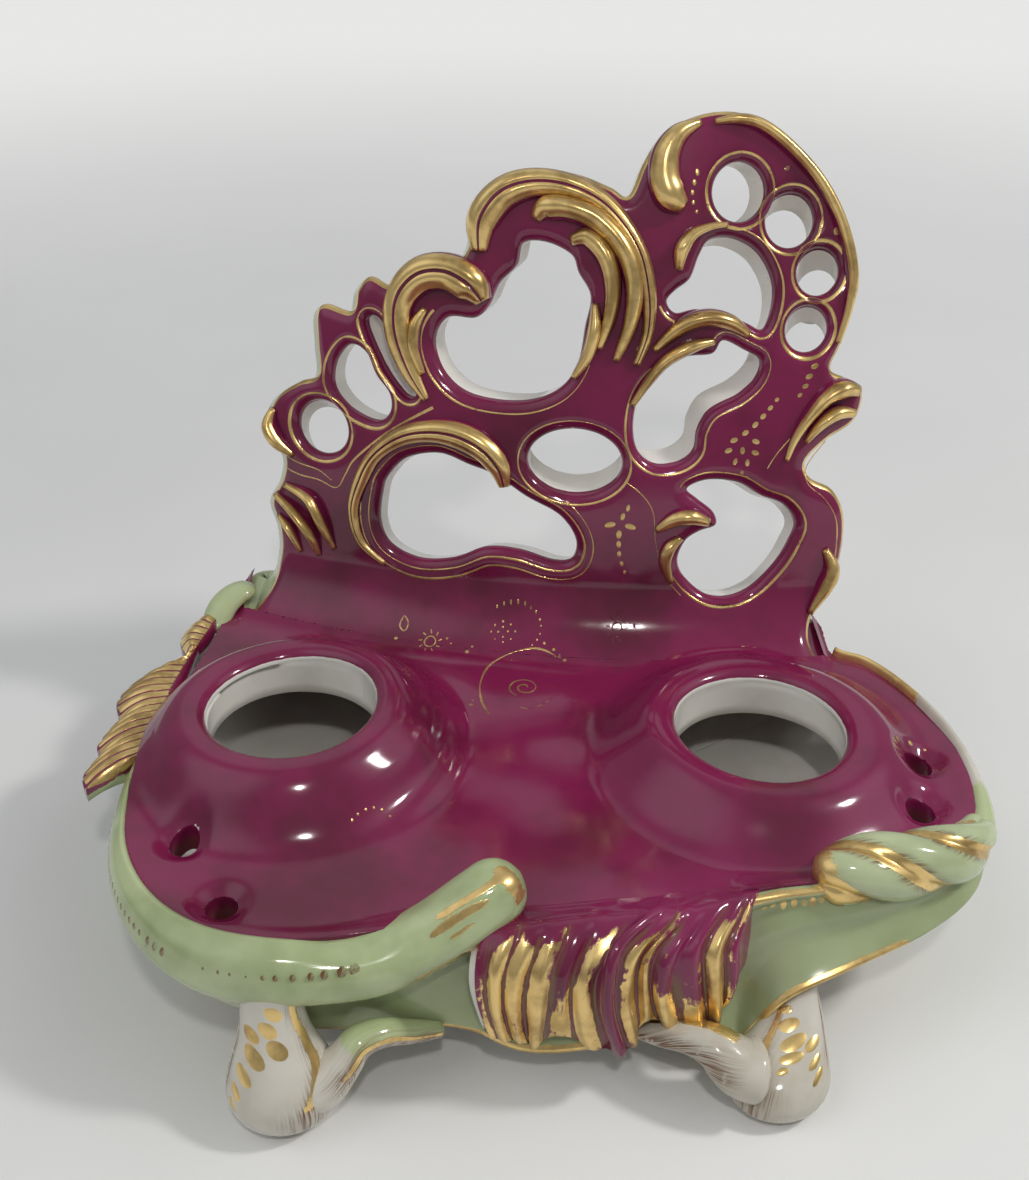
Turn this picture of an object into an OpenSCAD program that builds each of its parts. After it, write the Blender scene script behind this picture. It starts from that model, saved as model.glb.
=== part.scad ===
// Desk inkstand in glazed porcelain: a hollow body on four club feet, a deck with two open
// wells and four quill holes, modelled rims along the deck edge, and a pierced scroll gallery
// that leans back behind the wells. The origin is on the table, under the middle of the stand.

/* [Overall] */
// Width of the deck between its side rims, without the rims
deck_width = 222; // [205:1:270]
// Depth of the deck from its front edge to its back edge
deck_depth = 168; // [156:1:204]
// Height from the table to the top of the deck
deck_height = 46; // [42:1:56]
// Height of the gallery above the deck
gallery_height = 148; // [124:1:178]

/* [Walls] */
// Thickness of the deck
deck_wall = 5; // [4:0.5:7]
// Wall of the hollow body under the deck
body_wall = 4.5; // [3.5:0.5:6]
// Floor of the hollow body
floor_wall = 4; // [3:0.5:6]
// Clear height between the table and the floor of the body
floor_clear = 14; // [10:1:18]
// Thickness of the pierced gallery
gallery_wall = 13; // [9:0.5:16]

/* [Wells] */
// Radius of the opening of each well
well_bore = 23; // [18:0.5:28]
// Wall of the neck that hangs down inside each well
neck_wall = 4.5; // [3.5:0.5:6]
// Length of the neck below the rim of its well
neck_length = 14; // [10:0.5:17]
// Height of the left well rim above the deck
left_rise = 15; // [11:0.5:20]
// Height of the right well rim above the deck
right_rise = 10; // [8:0.5:16]
// Width of the sloping boss round each well, from the opening to the deck
boss_width = 14; // [12:0.5:17]
// Width of the ring on which each boss sits on the deck
boss_seat = 5; // [4:0.5:6]

/* [Quill holes] */
// Radius of each quill hole
quill_bore = 4; // [3:0.25:5]

/* [Rims] */
// Height of the green bead along the left and front edge
bead_tall = 15; // [12:0.5:15]
// How far that bead swells out of the deck edge
bead_out = 10; // [6:0.5:12]
// How far the front shell hangs below the deck
shell_drop = 33; // [24:1:36]

/* [Feet] */
// Radius of the club at the bottom of each foot
club_radius = 13.5; // [11:0.5:15]

/* [Hidden] */
$fn = 96;

// Sizes at which the outlines below were drawn. Each outline is scaled by the ratio to them.
drawn_width = 222;
drawn_depth = 168;
drawn_gallery = 148;
across = deck_width / drawn_width;
along = deck_depth / drawn_depth;
upward = gallery_height / drawn_gallery;

// The middle of the whole stand, measured from the middle of the line between the wells.
middle_x = 5 * across;
middle_y = 6.9 * along;

deck_under = deck_height - deck_wall;
boss_foot = well_bore + boss_width;
deck_opening = boss_foot - boss_seat;
lip_radius = 3.5;

// Middles of the two wells
left_well = [-60.5 * across, 0.5 * along];
right_well = [66.5 * across, -3 * along];

// Each quill hole: its well, its direction from the well, and its gap to the boss
quill_holes = [
    [left_well, 240, 4.5],
    [left_well, 261, 21],
    [right_well, -7, 2],
    [right_well, -31, 4.5]
];

// Deck edge from behind the left end of the gallery, round the front, to the back
deck_points = [
    [-84, 94], [-90, 72], [-93, 50], [-97, 26], [-100, 4], [-101, -20], [-97, -42],
    [-87, -59], [-72, -70], [-52, -74], [-30, -71], [-12, -66], [8, -65], [31, -62],
    [54, -58], [76, -55], [97, -51], [112, -42], [119, -28], [121, -10], [119, 8],
    [114, 26], [106, 43], [99, 56], [94, 70], [60, 69], [20, 71], [-20, 78], [-54, 87]
];
deck_steps = 4;

// Places along the deck edge, counted in the points above, where one rim ends and the next starts
curl_start = 1;
leaf_start = 1.75;
fin_start = 2.75;
bead_start = 4.5;
shell_start = 11;
panel_start = 14;
under_rim_start = 16;
edge_rim_start = 18;
edge_rim_end = 23;

// Gallery: its front is part of a tall ring, nearest the wells at gallery_x, and leans back
gallery_x = 50 * across;
gallery_y = 50 * along;
gallery_radius = 320;
lean_start = 0.12;
lean_growth = 0.0013;
gallery_bands = [0, 24, 48, 72, 98, 124, 152];

// Gallery outline as [across, height], from the left end of its foot over the top to the right
gallery_points = [
    [-86, 46], [-78, 53], [-75, 62], [-75, 70], [-77, 78], [-73, 86], [-72, 93], [-76, 98],
    [-77, 104], [-73, 111], [-66, 116], [-60, 119], [-60, 128], [-60, 136], [-57, 139],
    [-49, 138], [-47, 144], [-43, 148], [-36, 146], [-32, 152], [-25, 155], [-16, 155],
    [-12, 163], [-8, 171], [0, 177], [8, 179], [18, 178], [27, 175], [32, 173], [36, 181],
    [41, 188], [48, 192], [57, 194], [66, 193], [76, 187], [86, 178], [93, 167], [98, 154],
    [98, 144], [95, 134], [92, 127], [97, 124], [102, 120], [100, 112], [92, 107], [86, 101],
    [88, 96], [95, 92], [99, 84], [99, 72], [98, 63], [94, 54], [97, 46]
];

// Openings in the gallery, each drawn round its edge
heart_opening = [
    [-24, 133], [-20, 139], [-12, 139.5], [-8, 143], [-5, 149], [0, 154], [2, 160], [9, 160.5],
    [16, 157.5], [18, 153], [21.5, 147], [20, 139], [18, 129], [13, 122], [4, 118], [-7, 117.5],
    [-16, 119.5], [-22, 125]
];
lower_left_opening = [
    [-41, 87], [-42, 78], [-39, 71], [-30, 67.5], [-19, 69], [-9, 73.5], [1, 73.5], [11, 71],
    [17, 72], [18, 78], [13, 85], [3, 90], [-6, 95.5], [-14, 98], [-23, 100.5], [-33, 98],
    [-39, 92]
];
middle_right_opening = [
    [34.5, 112], [36, 120], [41, 126.5], [49, 131], [57, 132], [60, 135.5], [66, 133],
    [71, 130], [70, 125], [65, 120.5], [57, 116.5], [53.5, 111], [52.5, 105], [48, 101.5],
    [41, 101], [36, 105]
];
upper_right_opening = [
    [43.5, 146], [46, 149], [50, 152], [52.5, 158], [55.5, 162], [62, 162.5], [69, 159],
    [73.5, 152], [74, 145], [71.5, 138.5], [67, 140], [60, 143], [52, 144], [46, 143]
];
lower_right_opening = [
    [51, 94], [57, 96.5], [66, 95.5], [73, 91.5], [80, 88.5], [84, 83], [82.5, 77.5], [79, 71],
    [73, 64.5], [66, 61.5], [58, 62], [51.5, 66.5], [49, 72], [51, 78], [55, 81], [60, 83],
    [59, 87], [54, 91]
];
left_bean_opening = [
    [-50, 128.5], [-54.5, 123], [-55, 116], [-50, 110.5], [-42, 108], [-38, 111], [-38, 116],
    [-42, 121], [-45, 127]
];
left_slot_opening = [
    [-44.5, 136], [-41, 137], [-36, 129.5], [-31, 121], [-30, 116.5], [-33, 116.5],
    [-38, 122], [-42.5, 130]
];
drawn_openings = [
    heart_opening, lower_left_opening, middle_right_opening, upper_right_opening,
    lower_right_opening, left_bean_opening, left_slot_opening
];
// Round openings as [across, height, radius]
round_openings = [
    [-59, 103.7, 7.8], [63.5, 174, 7.6], [78.3, 166.5, 7], [87, 153, 6.2], [84.3, 138, 6.2]
];
// The oval opening as [across, height, half width, half height]
oval_opening = [17.5, 101, 14, 9.5];

// ---- curves ----

function spline_at(a, b, c, d, t) = 0.5 * (
    2 * b + (c - a) * t + (2 * a - 5 * b + 4 * c - d) * t * t + (3 * b - a - 3 * c + d) * t * t * t
);

function closed_curve(points, steps) = let (count = len(points)) [
    for (i = [0 : count - 1], k = [0 : steps - 1])
        spline_at(points[(i + count - 1) % count], points[i], points[(i + 1) % count],
            points[(i + 2) % count], k / steps)
];

function open_curve(points, steps) = let (last = len(points) - 1) [
    for (i = [0 : last - 1], k = [0 : steps - 1])
        spline_at(points[max(i - 1, 0)], points[i], points[i + 1], points[min(i + 2, last)], k / steps),
    points[last]
];

function unit(v) = v / norm(v);

// The direction of a path at one of its points
function heading(path, i) = unit(path[min(i + 1, len(path) - 1)] - path[max(i - 1, 0)]);

// The outward direction of a closed outline that runs anticlockwise
function outward(outline, i) = let (
    count = len(outline),
    run = unit(outline[(i + 1) % count] - outline[(i + count - 1) % count])
) [run[1], -run[0]];

function scale_about_middle(outline, share) = [for (p = outline) share * p];

function shrink(outline, wall) = [
    for (i = [0 : len(outline) - 1]) outline[i] - wall * outward(outline, i)
];

function at_height(outline, z) = [for (p = outline) [p[0], p[1], z]];

function centre_of(ring) = [for (axis = [0 : 2]) sum([for (p = ring) p[axis]]) / len(ring)];

function sum(values) = values * [for (v = values) 1];

// A closed skin over a row of rings, with a fan over the first and the last ring
module skin(rings) {
    count = len(rings);
    sides = len(rings[0]);
    last = (count - 1) * sides;
    first_centre = count * sides;
    points = concat(
        [for (ring = rings) each ring],
        [centre_of(rings[0]), centre_of(rings[count - 1])]
    );
    walls = [
        for (i = [0 : count - 2], j = [0 : sides - 1]) let (
            here = i * sides,
            next = (j + 1) % sides
        ) each [
            [here + j, here + sides + next, here + next],
            [here + j, here + sides + j, here + sides + next]
        ]
    ];
    ends = [
        for (j = [0 : sides - 1]) let (next = (j + 1) % sides) each [
            [first_centre, j, next],
            [first_centre + 1, last + next, last + j]
        ]
    ];
    polyhedron(points, concat(walls, ends), convexity = 6);
}

// Puts a piece drawn round the wells' middle into the stand's own frame
module placed() {
    translate([-middle_x, -middle_y, 0]) children();
}

// ---- deck and body ----

deck_outline = closed_curve([for (p = deck_points) [p[0] * across, p[1] * along]], deck_steps);

module deck_plate() {
    color("mediumvioletred") placed() difference() {
        translate([0, 0, deck_under]) linear_extrude(deck_wall) polygon(deck_outline);
        for (well = [left_well, right_well])
            translate([well[0], well[1], deck_under - 1]) cylinder(deck_wall + 2, r = deck_opening);
        for (hole = quill_holes) {
            distance = boss_foot + quill_bore + hole[2];
            spot = hole[0] + distance * [cos(hole[1]), sin(hole[1])];
            translate([spot[0], spot[1], deck_under - 1]) cylinder(deck_wall + 2, r = quill_bore);
        }
    }
}

// Outer levels of the body as [height, share of the deck outline]
body_levels = [
    [floor_clear, 0.93],
    [floor_clear + 2, 0.96],
    [floor_clear + 8, 0.985],
    [deck_height - bead_tall - 1, 1],
    [deck_under, 1]
];

function body_rings() = [
    for (level = body_levels) at_height(scale_about_middle(deck_outline, level[1]), level[0])
];

function hollow_rings() = [
    for (i = [len(body_levels) - 1 : -1 : 1]) let (
        outline = scale_about_middle(deck_outline, body_levels[i][1]),
        raised = i == 1 ? floor_clear + floor_wall : body_levels[i][0]
    ) at_height(shrink(outline, body_wall), raised)
];

module body_shell() {
    color("darkseagreen") placed() skin(concat(body_rings(), hollow_rings()));
}

// ---- wells ----

// Boss with a round lip, a neck that hangs down inside it, and a flat seat on the deck
module well_boss(well, rise) {
    rim = deck_height + rise;
    neck_outer = well_bore + neck_wall;
    lip_middle = well_bore + lip_radius;
    shoulder = rise - lip_radius;
    slope = [
        for (turn = [0 : 9 : 90])
            [
                boss_foot - (boss_foot - lip_middle - lip_radius) * sin(turn),
                deck_height + shoulder * (1 - cos(turn))
            ]
    ];
    lip = [
        for (turn = [15 : 15 : 180])
            [lip_middle + lip_radius * cos(turn), rim - lip_radius + lip_radius * sin(turn)]
    ];
    inside = [
        [well_bore, rim - neck_length],
        [neck_outer, rim - neck_length],
        [neck_outer, deck_height],
        [deck_opening, deck_height]
    ];
    translate([well[0], well[1], 0]) rotate_extrude() polygon(concat(slope, lip, inside));
}

module left_well_boss() {
    color("mediumvioletred") placed() well_boss(left_well, left_rise);
}

module right_well_boss() {
    color("mediumvioletred") placed() well_boss(right_well, right_rise);
}

// ---- gallery ----

// How far the gallery has leaned back at a height above the deck
function lean(rise) = (lean_start * rise + lean_growth * rise * rise) * along;
lean_table = [for (rise = gallery_bands) [rise * upward, lean(rise)]];

function gallery_ring(z) = gallery_radius - lookup(z - deck_height, lean_table);

function gallery_z(drawn_z) = deck_height + (drawn_z - 46) * upward;

function gallery_place(p) = [p[0] * across, gallery_z(p[1])];

// The point of the gallery's front face at [across, height], and the direction it faces
function gallery_front(p) = [
    p[0],
    gallery_y + gallery_radius - sqrt(pow(gallery_ring(p[1]), 2) - pow(p[0] - gallery_x, 2)),
    p[1]
];

function gallery_facing(p) = let (
    step = 0.5,
    rightward = gallery_front(p + [step, 0]) - gallery_front(p - [step, 0]),
    up = gallery_front(p + [0, step]) - gallery_front(p - [0, step])
) unit(cross(rightward, up));

module gallery_shape() {
    steps = 3;
    difference() {
        polygon(open_curve([for (p = gallery_points) gallery_place(p)], steps));
        for (opening = drawn_openings)
            polygon(closed_curve([for (p = opening) gallery_place(p)], 2));
        for (hole = round_openings)
            translate(gallery_place(hole)) circle(hole[2] * min(across, upward), $fn = 48);
        polygon([
            for (turn = [0 : 12 : 348])
                gallery_place([
                    oval_opening[0] + oval_opening[2] * cos(turn),
                    oval_opening[1] + oval_opening[3] * sin(turn)
                ])
        ]);
    }
}

module gallery() {
    reach = 140 * along;
    front = [for (row = lean_table) [gallery_radius - row[1], deck_height + row[0]]];
    back = [for (i = [len(front) - 1 : -1 : 0]) front[i] - [gallery_wall, 0]];
    color("mediumvioletred") placed() intersection() {
        translate([gallery_x, gallery_y + gallery_radius, 0])
            rotate_extrude($fn = 180) polygon(concat(front, back));
        translate([0, reach, 0]) rotate([90, 0, 0]) linear_extrude(reach) gallery_shape();
    }
}

// ---- feet ----

// Radius of a foot, as a share of the club, at each share of its height
foot_profile = [
    [0, 0.48], [0.07, 0.74], [0.18, 0.93], [0.32, 1], [0.46, 0.93], [0.6, 0.76], [0.78, 0.6], [1, 0.5]
];

// Club foot that leans out from its top, with a small flat on the table
module foot(spot, direction, tall, reach) {
    rings = [
        for (level = foot_profile) let (
            z = level[0] * tall,
            out = reach * sin(90 * (1 - level[0])),
            middle = [spot[0] * across, spot[1] * along] + out * [cos(direction), sin(direction)]
        ) [
            for (turn = [0 : 22.5 : 337.5])
                [
                    middle[0] + level[1] * club_radius * cos(turn),
                    middle[1] + level[1] * club_radius * sin(turn),
                    z
                ]
        ]
    ];
    difference() {
        skin(rings);
        skin(body_rings());
    }
}

foot_top = deck_height - bead_tall;
panel_tall = 23;

module front_left_foot() {
    color("white") placed() foot([-54, -73.5], -96, foot_top, 10);
}

module front_right_foot() {
    color("white") placed() foot([63, -66], -84, deck_height - panel_tall, 17);
}

module back_left_foot() {
    color("white") placed() foot([-56, 86], 100, foot_top, 6);
}

module back_right_foot() {
    color("white") placed() foot([72, 69.5], 80, foot_top, 6);
}

// ---- rims along the deck edge ----

// A moulding on the deck edge from one place to another. The section is [out, up from the deck],
// clockwise from its top. The swell table scales it outwards along the run.
module rim(from, to, section, swell, flutes = 0, flute_depth = 0) {
    first = from * deck_steps;
    last = to * deck_steps;
    skin([
        for (i = [first : last]) let (
            share = (i - first) / (last - first),
            side = outward(deck_outline, i),
            out = lookup(share, swell) * (1 + flute_depth * cos(360 * flutes * share))
        ) [
            for (p = section)
                [
                    deck_outline[i][0] + side[0] * p[0] * out,
                    deck_outline[i][1] + side[1] * p[0] * out,
                    deck_height + p[1]
                ]
        ]
    ]);
}

// Half-round section, tall times out
function bead_section(tall, out) = [
    for (turn = [90 : -22.5 : -90]) [out * cos(turn), -tall / 2 + tall / 2 * sin(turn)]
];

module left_rim() {
    swell = [[0, 0.3], [0.08, 0.5], [0.25, 0.8], [0.5, 1], [1, 1.1]];
    color("darkseagreen") placed() rim(bead_start, shell_start, bead_section(bead_tall, bead_out), swell);
}

module front_shell() {
    section = [
        [0, 0], [3, 3], [8, 2], [12, -5], [13, -14], [13, -24], [12, -shell_drop],
        [8, -shell_drop], [6, -24], [0, -14]
    ];
    swell = [[0, 0.9], [0.3, 1], [0.6, 1.15], [1, 0.85]];
    color("palevioletred") placed()
        rim(shell_start, panel_start, section, swell, flutes = 3, flute_depth = 0.12);
}

module right_panel() {
    section = [
        [0, 0], [7, -1], [13, -6], [16, -13], [15, -19], [11, -panel_tall], [0, -panel_tall]
    ];
    swell = [[0, 0.9], [0.5, 1], [1, 0.7]];
    color("darkseagreen") placed() rim(panel_start, under_rim_start, section, swell);
}

module right_under_rim() {
    swell = [[0, 0.95], [0.6, 0.7], [1, 0.4]];
    color("darkseagreen") placed()
        rim(under_rim_start, edge_rim_start, bead_section(bead_tall, bead_out), swell);
}

module right_edge_rim() {
    swell = [[0, 1], [0.5, 0.9], [1, 0.6]];
    color("gainsboro") placed() rim(edge_rim_start, edge_rim_end, bead_section(8, 4), swell);
}

module left_fin() {
    section = [[0, 0], [9, 0], [14, -2], [14, -4], [9, -7], [0, -8]];
    swell = [[0, 0.5], [0.3, 0.85], [0.45, 0.7], [0.75, 0.9], [0.85, 0.8], [1, 1]];
    color("goldenrod") placed() rim(fin_start, bead_start, section, swell);
}

module left_leaf() {
    section = [[0, 0], [6, 0], [9, -2], [6, -6], [0, -7]];
    swell = [[0, 0.4], [0.4, 1], [1, 0.5]];
    color("goldenrod") placed() rim(leaf_start, fin_start, section, swell);
}

module left_curl() {
    section = [[0, 0], [2, 5], [5, 6], [8, 2], [6, -5], [0, -7]];
    swell = [[0, 0.5], [0.5, 1], [1, 0.6]];
    color("darkseagreen") placed() rim(curl_start, leaf_start, section, swell);
}

// ---- half-round scrolls that lie on a face ----

// A ring of half-round section on a face: its flat side lies on the face
function half_ring(spot, run, facing, half_width, tall) = let (side = unit(cross(facing, run))) [
    for (turn = [0 : 30 : 180]) spot + side * half_width * cos(turn) + facing * tall * sin(turn)
];

// A scroll on the deck. Each of its points is [x, y, half width, height].
module deck_scroll(points, steps, lobes = 0) {
    path = open_curve([for (p = points) [p[0] * across, p[1] * along, p[2], p[3]]], steps);
    last = len(path) - 1;
    flat_path = [for (p = path) [p[0], p[1], deck_height]];
    skin([
        for (i = [0 : last]) let (bulge = 1 - 0.2 * pow(cos(180 * lobes * i / last), 2) * sign(lobes))
            half_ring(flat_path[i], heading(flat_path, i), [0, 0, 1], path[i][2], path[i][3] * bulge)
    ]);
}

module left_scroll_head() {
    points = [[-34, -70, 1.5, 1], [-24, -66, 5, 5], [-14, -60, 8, 8], [-6, -53, 8, 9], [-2, -48, 3, 4]];
    color("darkseagreen") placed() deck_scroll(points, 4);
}

module right_twist() {
    points = [[77, -49, 4, 4], [83, -47.5, 7, 9], [94, -43.5, 8, 10], [105, -41, 6.5, 10],
        [113, -34, 5, 9], [118.5, -25, 2, 4]];
    color("darkseagreen") placed() deck_scroll(points, 4, lobes = 3);
}

// A scroll on the gallery. Each of its points is [across, height, half width, thickness].
module gallery_scroll(points, steps = 3) {
    path = open_curve([
        for (p = points) let (spot = gallery_place(p)) [spot[0], spot[1], p[2], p[3]]
    ], steps);
    spots = [for (p = path) gallery_front([p[0], p[1]])];
    skin([
        for (i = [0 : len(path) - 1])
            half_ring(spots[i], heading(spots, i), gallery_facing([path[i][0], path[i][1]]),
                path[i][2], path[i][3])
    ]);
}

module crest_left_scroll() {
    outer = [[-26, 116, 1, 1], [-31, 124, 2.5, 2], [-34, 134, 3.5, 4], [-33, 143, 4, 5],
        [-27, 149.5, 4.5, 6], [-19, 151, 4.5, 6], [-12, 148, 4.5, 6], [-9, 144, 2, 3]];
    inner = [[-26, 141, 1, 1], [-29, 136, 1.8, 2.5], [-29.5, 130, 1.8, 2.5], [-27, 123, 1, 1]];
    color("goldenrod") placed() {
        gallery_scroll(outer);
        gallery_scroll(inner);
    }
}

module crest_main_scroll() {
    outer = [[-10, 157, 2, 2], [-9, 165, 4, 5], [-3, 172, 4, 6], [6, 175, 3.5, 5], [17, 174, 3, 5],
        [27, 169, 2.5, 4], [35, 159, 2, 4], [38, 148, 2, 3], [38, 138, 1.5, 3], [35, 129, 1, 1]];
    middle = [[6, 166, 1.5, 2], [9, 169, 3, 5], [16, 169, 3, 6], [24, 166, 3, 6], [31, 159, 2.8, 6],
        [34, 150, 2.5, 5], [33, 140, 2, 4], [29, 130, 1, 1]];
    inner = [[16, 161, 1.5, 2], [21, 162, 2.5, 4], [26, 157, 2.5, 5], [28, 149, 2.2, 4],
        [27, 141, 1.8, 3], [24, 133, 1, 1]];
    tail = [[23, 145, 1, 1], [23, 138, 1.8, 3], [21, 131, 1.6, 2], [17, 125, 0.8, 1]];
    color("goldenrod") placed() {
        gallery_scroll(outer);
        gallery_scroll(middle);
        gallery_scroll(inner);
        gallery_scroll(tail);
    }
}

module crest_hook() {
    hook = [[52, 191, 1, 1], [46, 188, 2.5, 4], [42.5, 183, 3.5, 5], [42, 177, 4, 5],
        [44, 172.5, 4, 5], [47.5, 170, 2, 3]];
    color("goldenrod") placed() gallery_scroll(hook);
}

module crest_edge_bead() {
    bead = [[56, 191, 0.8, 1], [63, 191.5, 1.4, 2.5], [70, 189.5, 1.5, 3], [79, 183, 1.5, 3],
        [87, 174.5, 1.5, 3], [93, 164, 1.5, 3], [96.3, 152, 1.5, 3], [95.5, 143, 1.2, 2],
        [93, 134, 0.8, 1]];
    color("goldenrod") placed() gallery_scroll(bead, 2);
}

module middle_left_scroll() {
    outer = [[-3, 93, 1.5, 1], [-4.5, 99, 3, 4], [-9, 104, 3.5, 5], [-16, 107, 3.5, 5],
        [-24, 107.5, 3, 5], [-33, 105, 2.5, 4], [-41, 99, 2, 4], [-46, 91, 2, 3], [-49, 81, 1.5, 3],
        [-47, 71, 1.2, 2], [-40, 65, 0.8, 1]];
    color("goldenrod") placed() gallery_scroll(outer);
}

module middle_right_scroll() {
    upper = [[67, 137, 1, 1], [61, 140.5, 2, 4], [54, 141.5, 2.2, 5], [47, 139, 2, 4], [40, 133, 1, 1]];
    lower = [[57, 135.5, 1, 1.5], [50, 134, 1.8, 4], [43, 130, 1.6, 4], [38, 124, 1.2, 2],
        [34, 118, 0.8, 1]];
    color("goldenrod") placed() {
        gallery_scroll(upper);
        gallery_scroll(lower);
    }
}

module upper_right_curl() {
    curl = [[46.5, 154, 1, 1], [47, 159, 2, 4], [50, 163, 1.6, 3], [55, 165, 1, 2], [60, 165.5, 0.7, 1]];
    color("goldenrod") placed() gallery_scroll(curl);
}

module lower_right_curl() {
    hook = [[57.5, 84.5, 1.2, 1.5], [52, 86.5, 2.2, 4], [47, 85.5, 2, 3], [42, 82, 1, 1]];
    drop = [[49.5, 80, 1, 1], [46, 77, 1.8, 3], [45, 72, 1.6, 2.5], [47, 66, 0.8, 1]];
    color("goldenrod") placed() {
        gallery_scroll(hook);
        gallery_scroll(drop);
    }
}

module left_edge_flutes() {
    flutes = [
        [[-71, 84.5, 1, 1.5], [-63, 82, 1.6, 4], [-59, 75, 1.6, 4], [-56, 67, 0.8, 1]],
        [[-74.5, 81, 1, 1.5], [-68, 77, 1.6, 4], [-63, 71, 1.6, 4], [-61, 64, 0.8, 1]],
        [[-74, 74.5, 0.8, 1], [-70, 71, 1.4, 3], [-67, 64, 0.7, 1]]
    ];
    color("goldenrod") placed() {
        for (flute = flutes) gallery_scroll(flute);
    }
}

module left_ring_curl() {
    curl = [[-74, 107, 1, 1], [-75, 102, 2, 4], [-72.5, 97.5, 2, 4], [-68, 94, 0.8, 1]];
    color("goldenrod") placed() gallery_scroll(curl);
}

module right_edge_scroll() {
    flutes = [
        [[100, 120.5, 1.5, 2], [95, 121.5, 2.5, 5], [90, 119.5, 2.2, 5], [85, 114, 1.6, 4],
            [81.5, 108, 1.2, 2], [79.5, 102, 0.7, 1]],
        [[99, 114.5, 1.2, 2], [93.5, 115, 2, 4], [88.5, 112, 1.6, 4], [85, 107, 0.8, 1]]
    ];
    color("goldenrod") placed() {
        for (flute = flutes) gallery_scroll(flute);
    }
}

module right_edge_leaf() {
    leaf = [[93, 75, 1, 1], [96, 69, 2, 4], [95.5, 62, 2, 4], [92, 54.5, 0.8, 1]];
    color("goldenrod") placed() gallery_scroll(leaf);
}

deck_plate();
body_shell();
left_well_boss();
right_well_boss();
gallery();
front_left_foot();
front_right_foot();
back_left_foot();
back_right_foot();
left_rim();
left_scroll_head();
front_shell();
right_panel();
right_under_rim();
right_edge_rim();
right_twist();
left_fin();
left_leaf();
left_curl();
crest_left_scroll();
crest_main_scroll();
crest_hook();
crest_edge_bead();
middle_left_scroll();
middle_right_scroll();
upper_right_curl();
lower_right_curl();
left_edge_flutes();
left_ring_curl();
right_edge_scroll();
right_edge_leaf();
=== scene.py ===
import math
import bpy
import numpy as np
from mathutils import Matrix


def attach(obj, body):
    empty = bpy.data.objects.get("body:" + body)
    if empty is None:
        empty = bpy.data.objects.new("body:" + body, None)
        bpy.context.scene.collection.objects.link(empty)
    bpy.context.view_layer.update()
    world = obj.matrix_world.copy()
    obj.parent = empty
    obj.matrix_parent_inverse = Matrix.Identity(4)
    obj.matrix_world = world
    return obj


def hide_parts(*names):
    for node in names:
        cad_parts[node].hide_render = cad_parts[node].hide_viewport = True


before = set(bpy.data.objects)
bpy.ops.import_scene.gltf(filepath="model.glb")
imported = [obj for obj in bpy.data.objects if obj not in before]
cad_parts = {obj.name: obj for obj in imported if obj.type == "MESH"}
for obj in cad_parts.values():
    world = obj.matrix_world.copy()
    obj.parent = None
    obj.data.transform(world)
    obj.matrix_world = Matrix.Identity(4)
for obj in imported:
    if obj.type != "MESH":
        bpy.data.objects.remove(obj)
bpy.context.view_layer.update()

MM = 0.001
# All shapes below are drawn in millimetres from the middle of the line between the two wells: across to the
# right, along to the back, and up. MIDDLE is the middle of the CAD box there.
MIDDLE = np.array([5.0, 6.9, 0.0])

# ---------------------------------------------------------------- camera and light

PHOTO_TALL = 1180.0            # pixels
FOCAL = 1400.0                 # pixels
SENSOR = 36.0                  # millimetres
LOOKS_DOWN = 31.7              # degrees below level
CAMERA_PLACE = (-0.005, -0.3129, 0.285)
TABLE_CENTRE = (0.0, 0.0, 0.05)
GALLERY_CENTRE = (0.0, 0.0, 0.08)


def add_camera():
    """The photo's view: a plain perspective camera in front of the stand that looks down at it."""
    data = bpy.data.cameras.new("camera")
    data.sensor_width = SENSOR
    data.lens = FOCAL / PHOTO_TALL * SENSOR
    data.clip_start = 0.01
    data.clip_end = 20.0
    thing = bpy.data.objects.new("camera", data)
    bpy.context.scene.collection.objects.link(thing)
    thing.location = CAMERA_PLACE
    thing.rotation_euler = (math.radians(90.0 - LOOKS_DOWN), 0.0, 0.0)
    bpy.context.scene.camera = thing


def lamp(name, place, aim, size, power, tint=(1.0, 1.0, 1.0)):
    """A soft round lamp at place, turned to aim, with its diameter in metres and its power in watts."""
    data = bpy.data.lights.new(name, "AREA")
    data.shape = "DISK"
    data.size = size
    data.energy = power
    data.color = tint
    thing = bpy.data.objects.new(name, data)
    bpy.context.scene.collection.objects.link(thing)
    thing.location = place
    way = np.array(aim, float) - np.array(place, float)
    thing.rotation_euler = (math.atan2(math.hypot(way[0], way[1]), -way[2]), 0.0,
                            math.atan2(way[1], way[0]) - math.pi / 2)
    return thing


add_camera()
lamp("near_lamp", (0.03, -0.46, 0.66), TABLE_CENTRE, 0.05, 0.9, (1.0, 0.97, 0.93))
lamp("window_right", (0.85, -0.05, 0.95), TABLE_CENTRE, 0.15, 5.0, (1.0, 0.98, 0.95))
for wide in (lamp("wide_left", (-1.4, -0.3, 1.7), GALLERY_CENTRE, 2.0, 4.5),
             lamp("wide_right", (1.5, -0.4, 1.6), GALLERY_CENTRE, 2.0, 3.0)):
    wide.visible_glossy = False

# ---------------------------------------------------------------- curves


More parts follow.
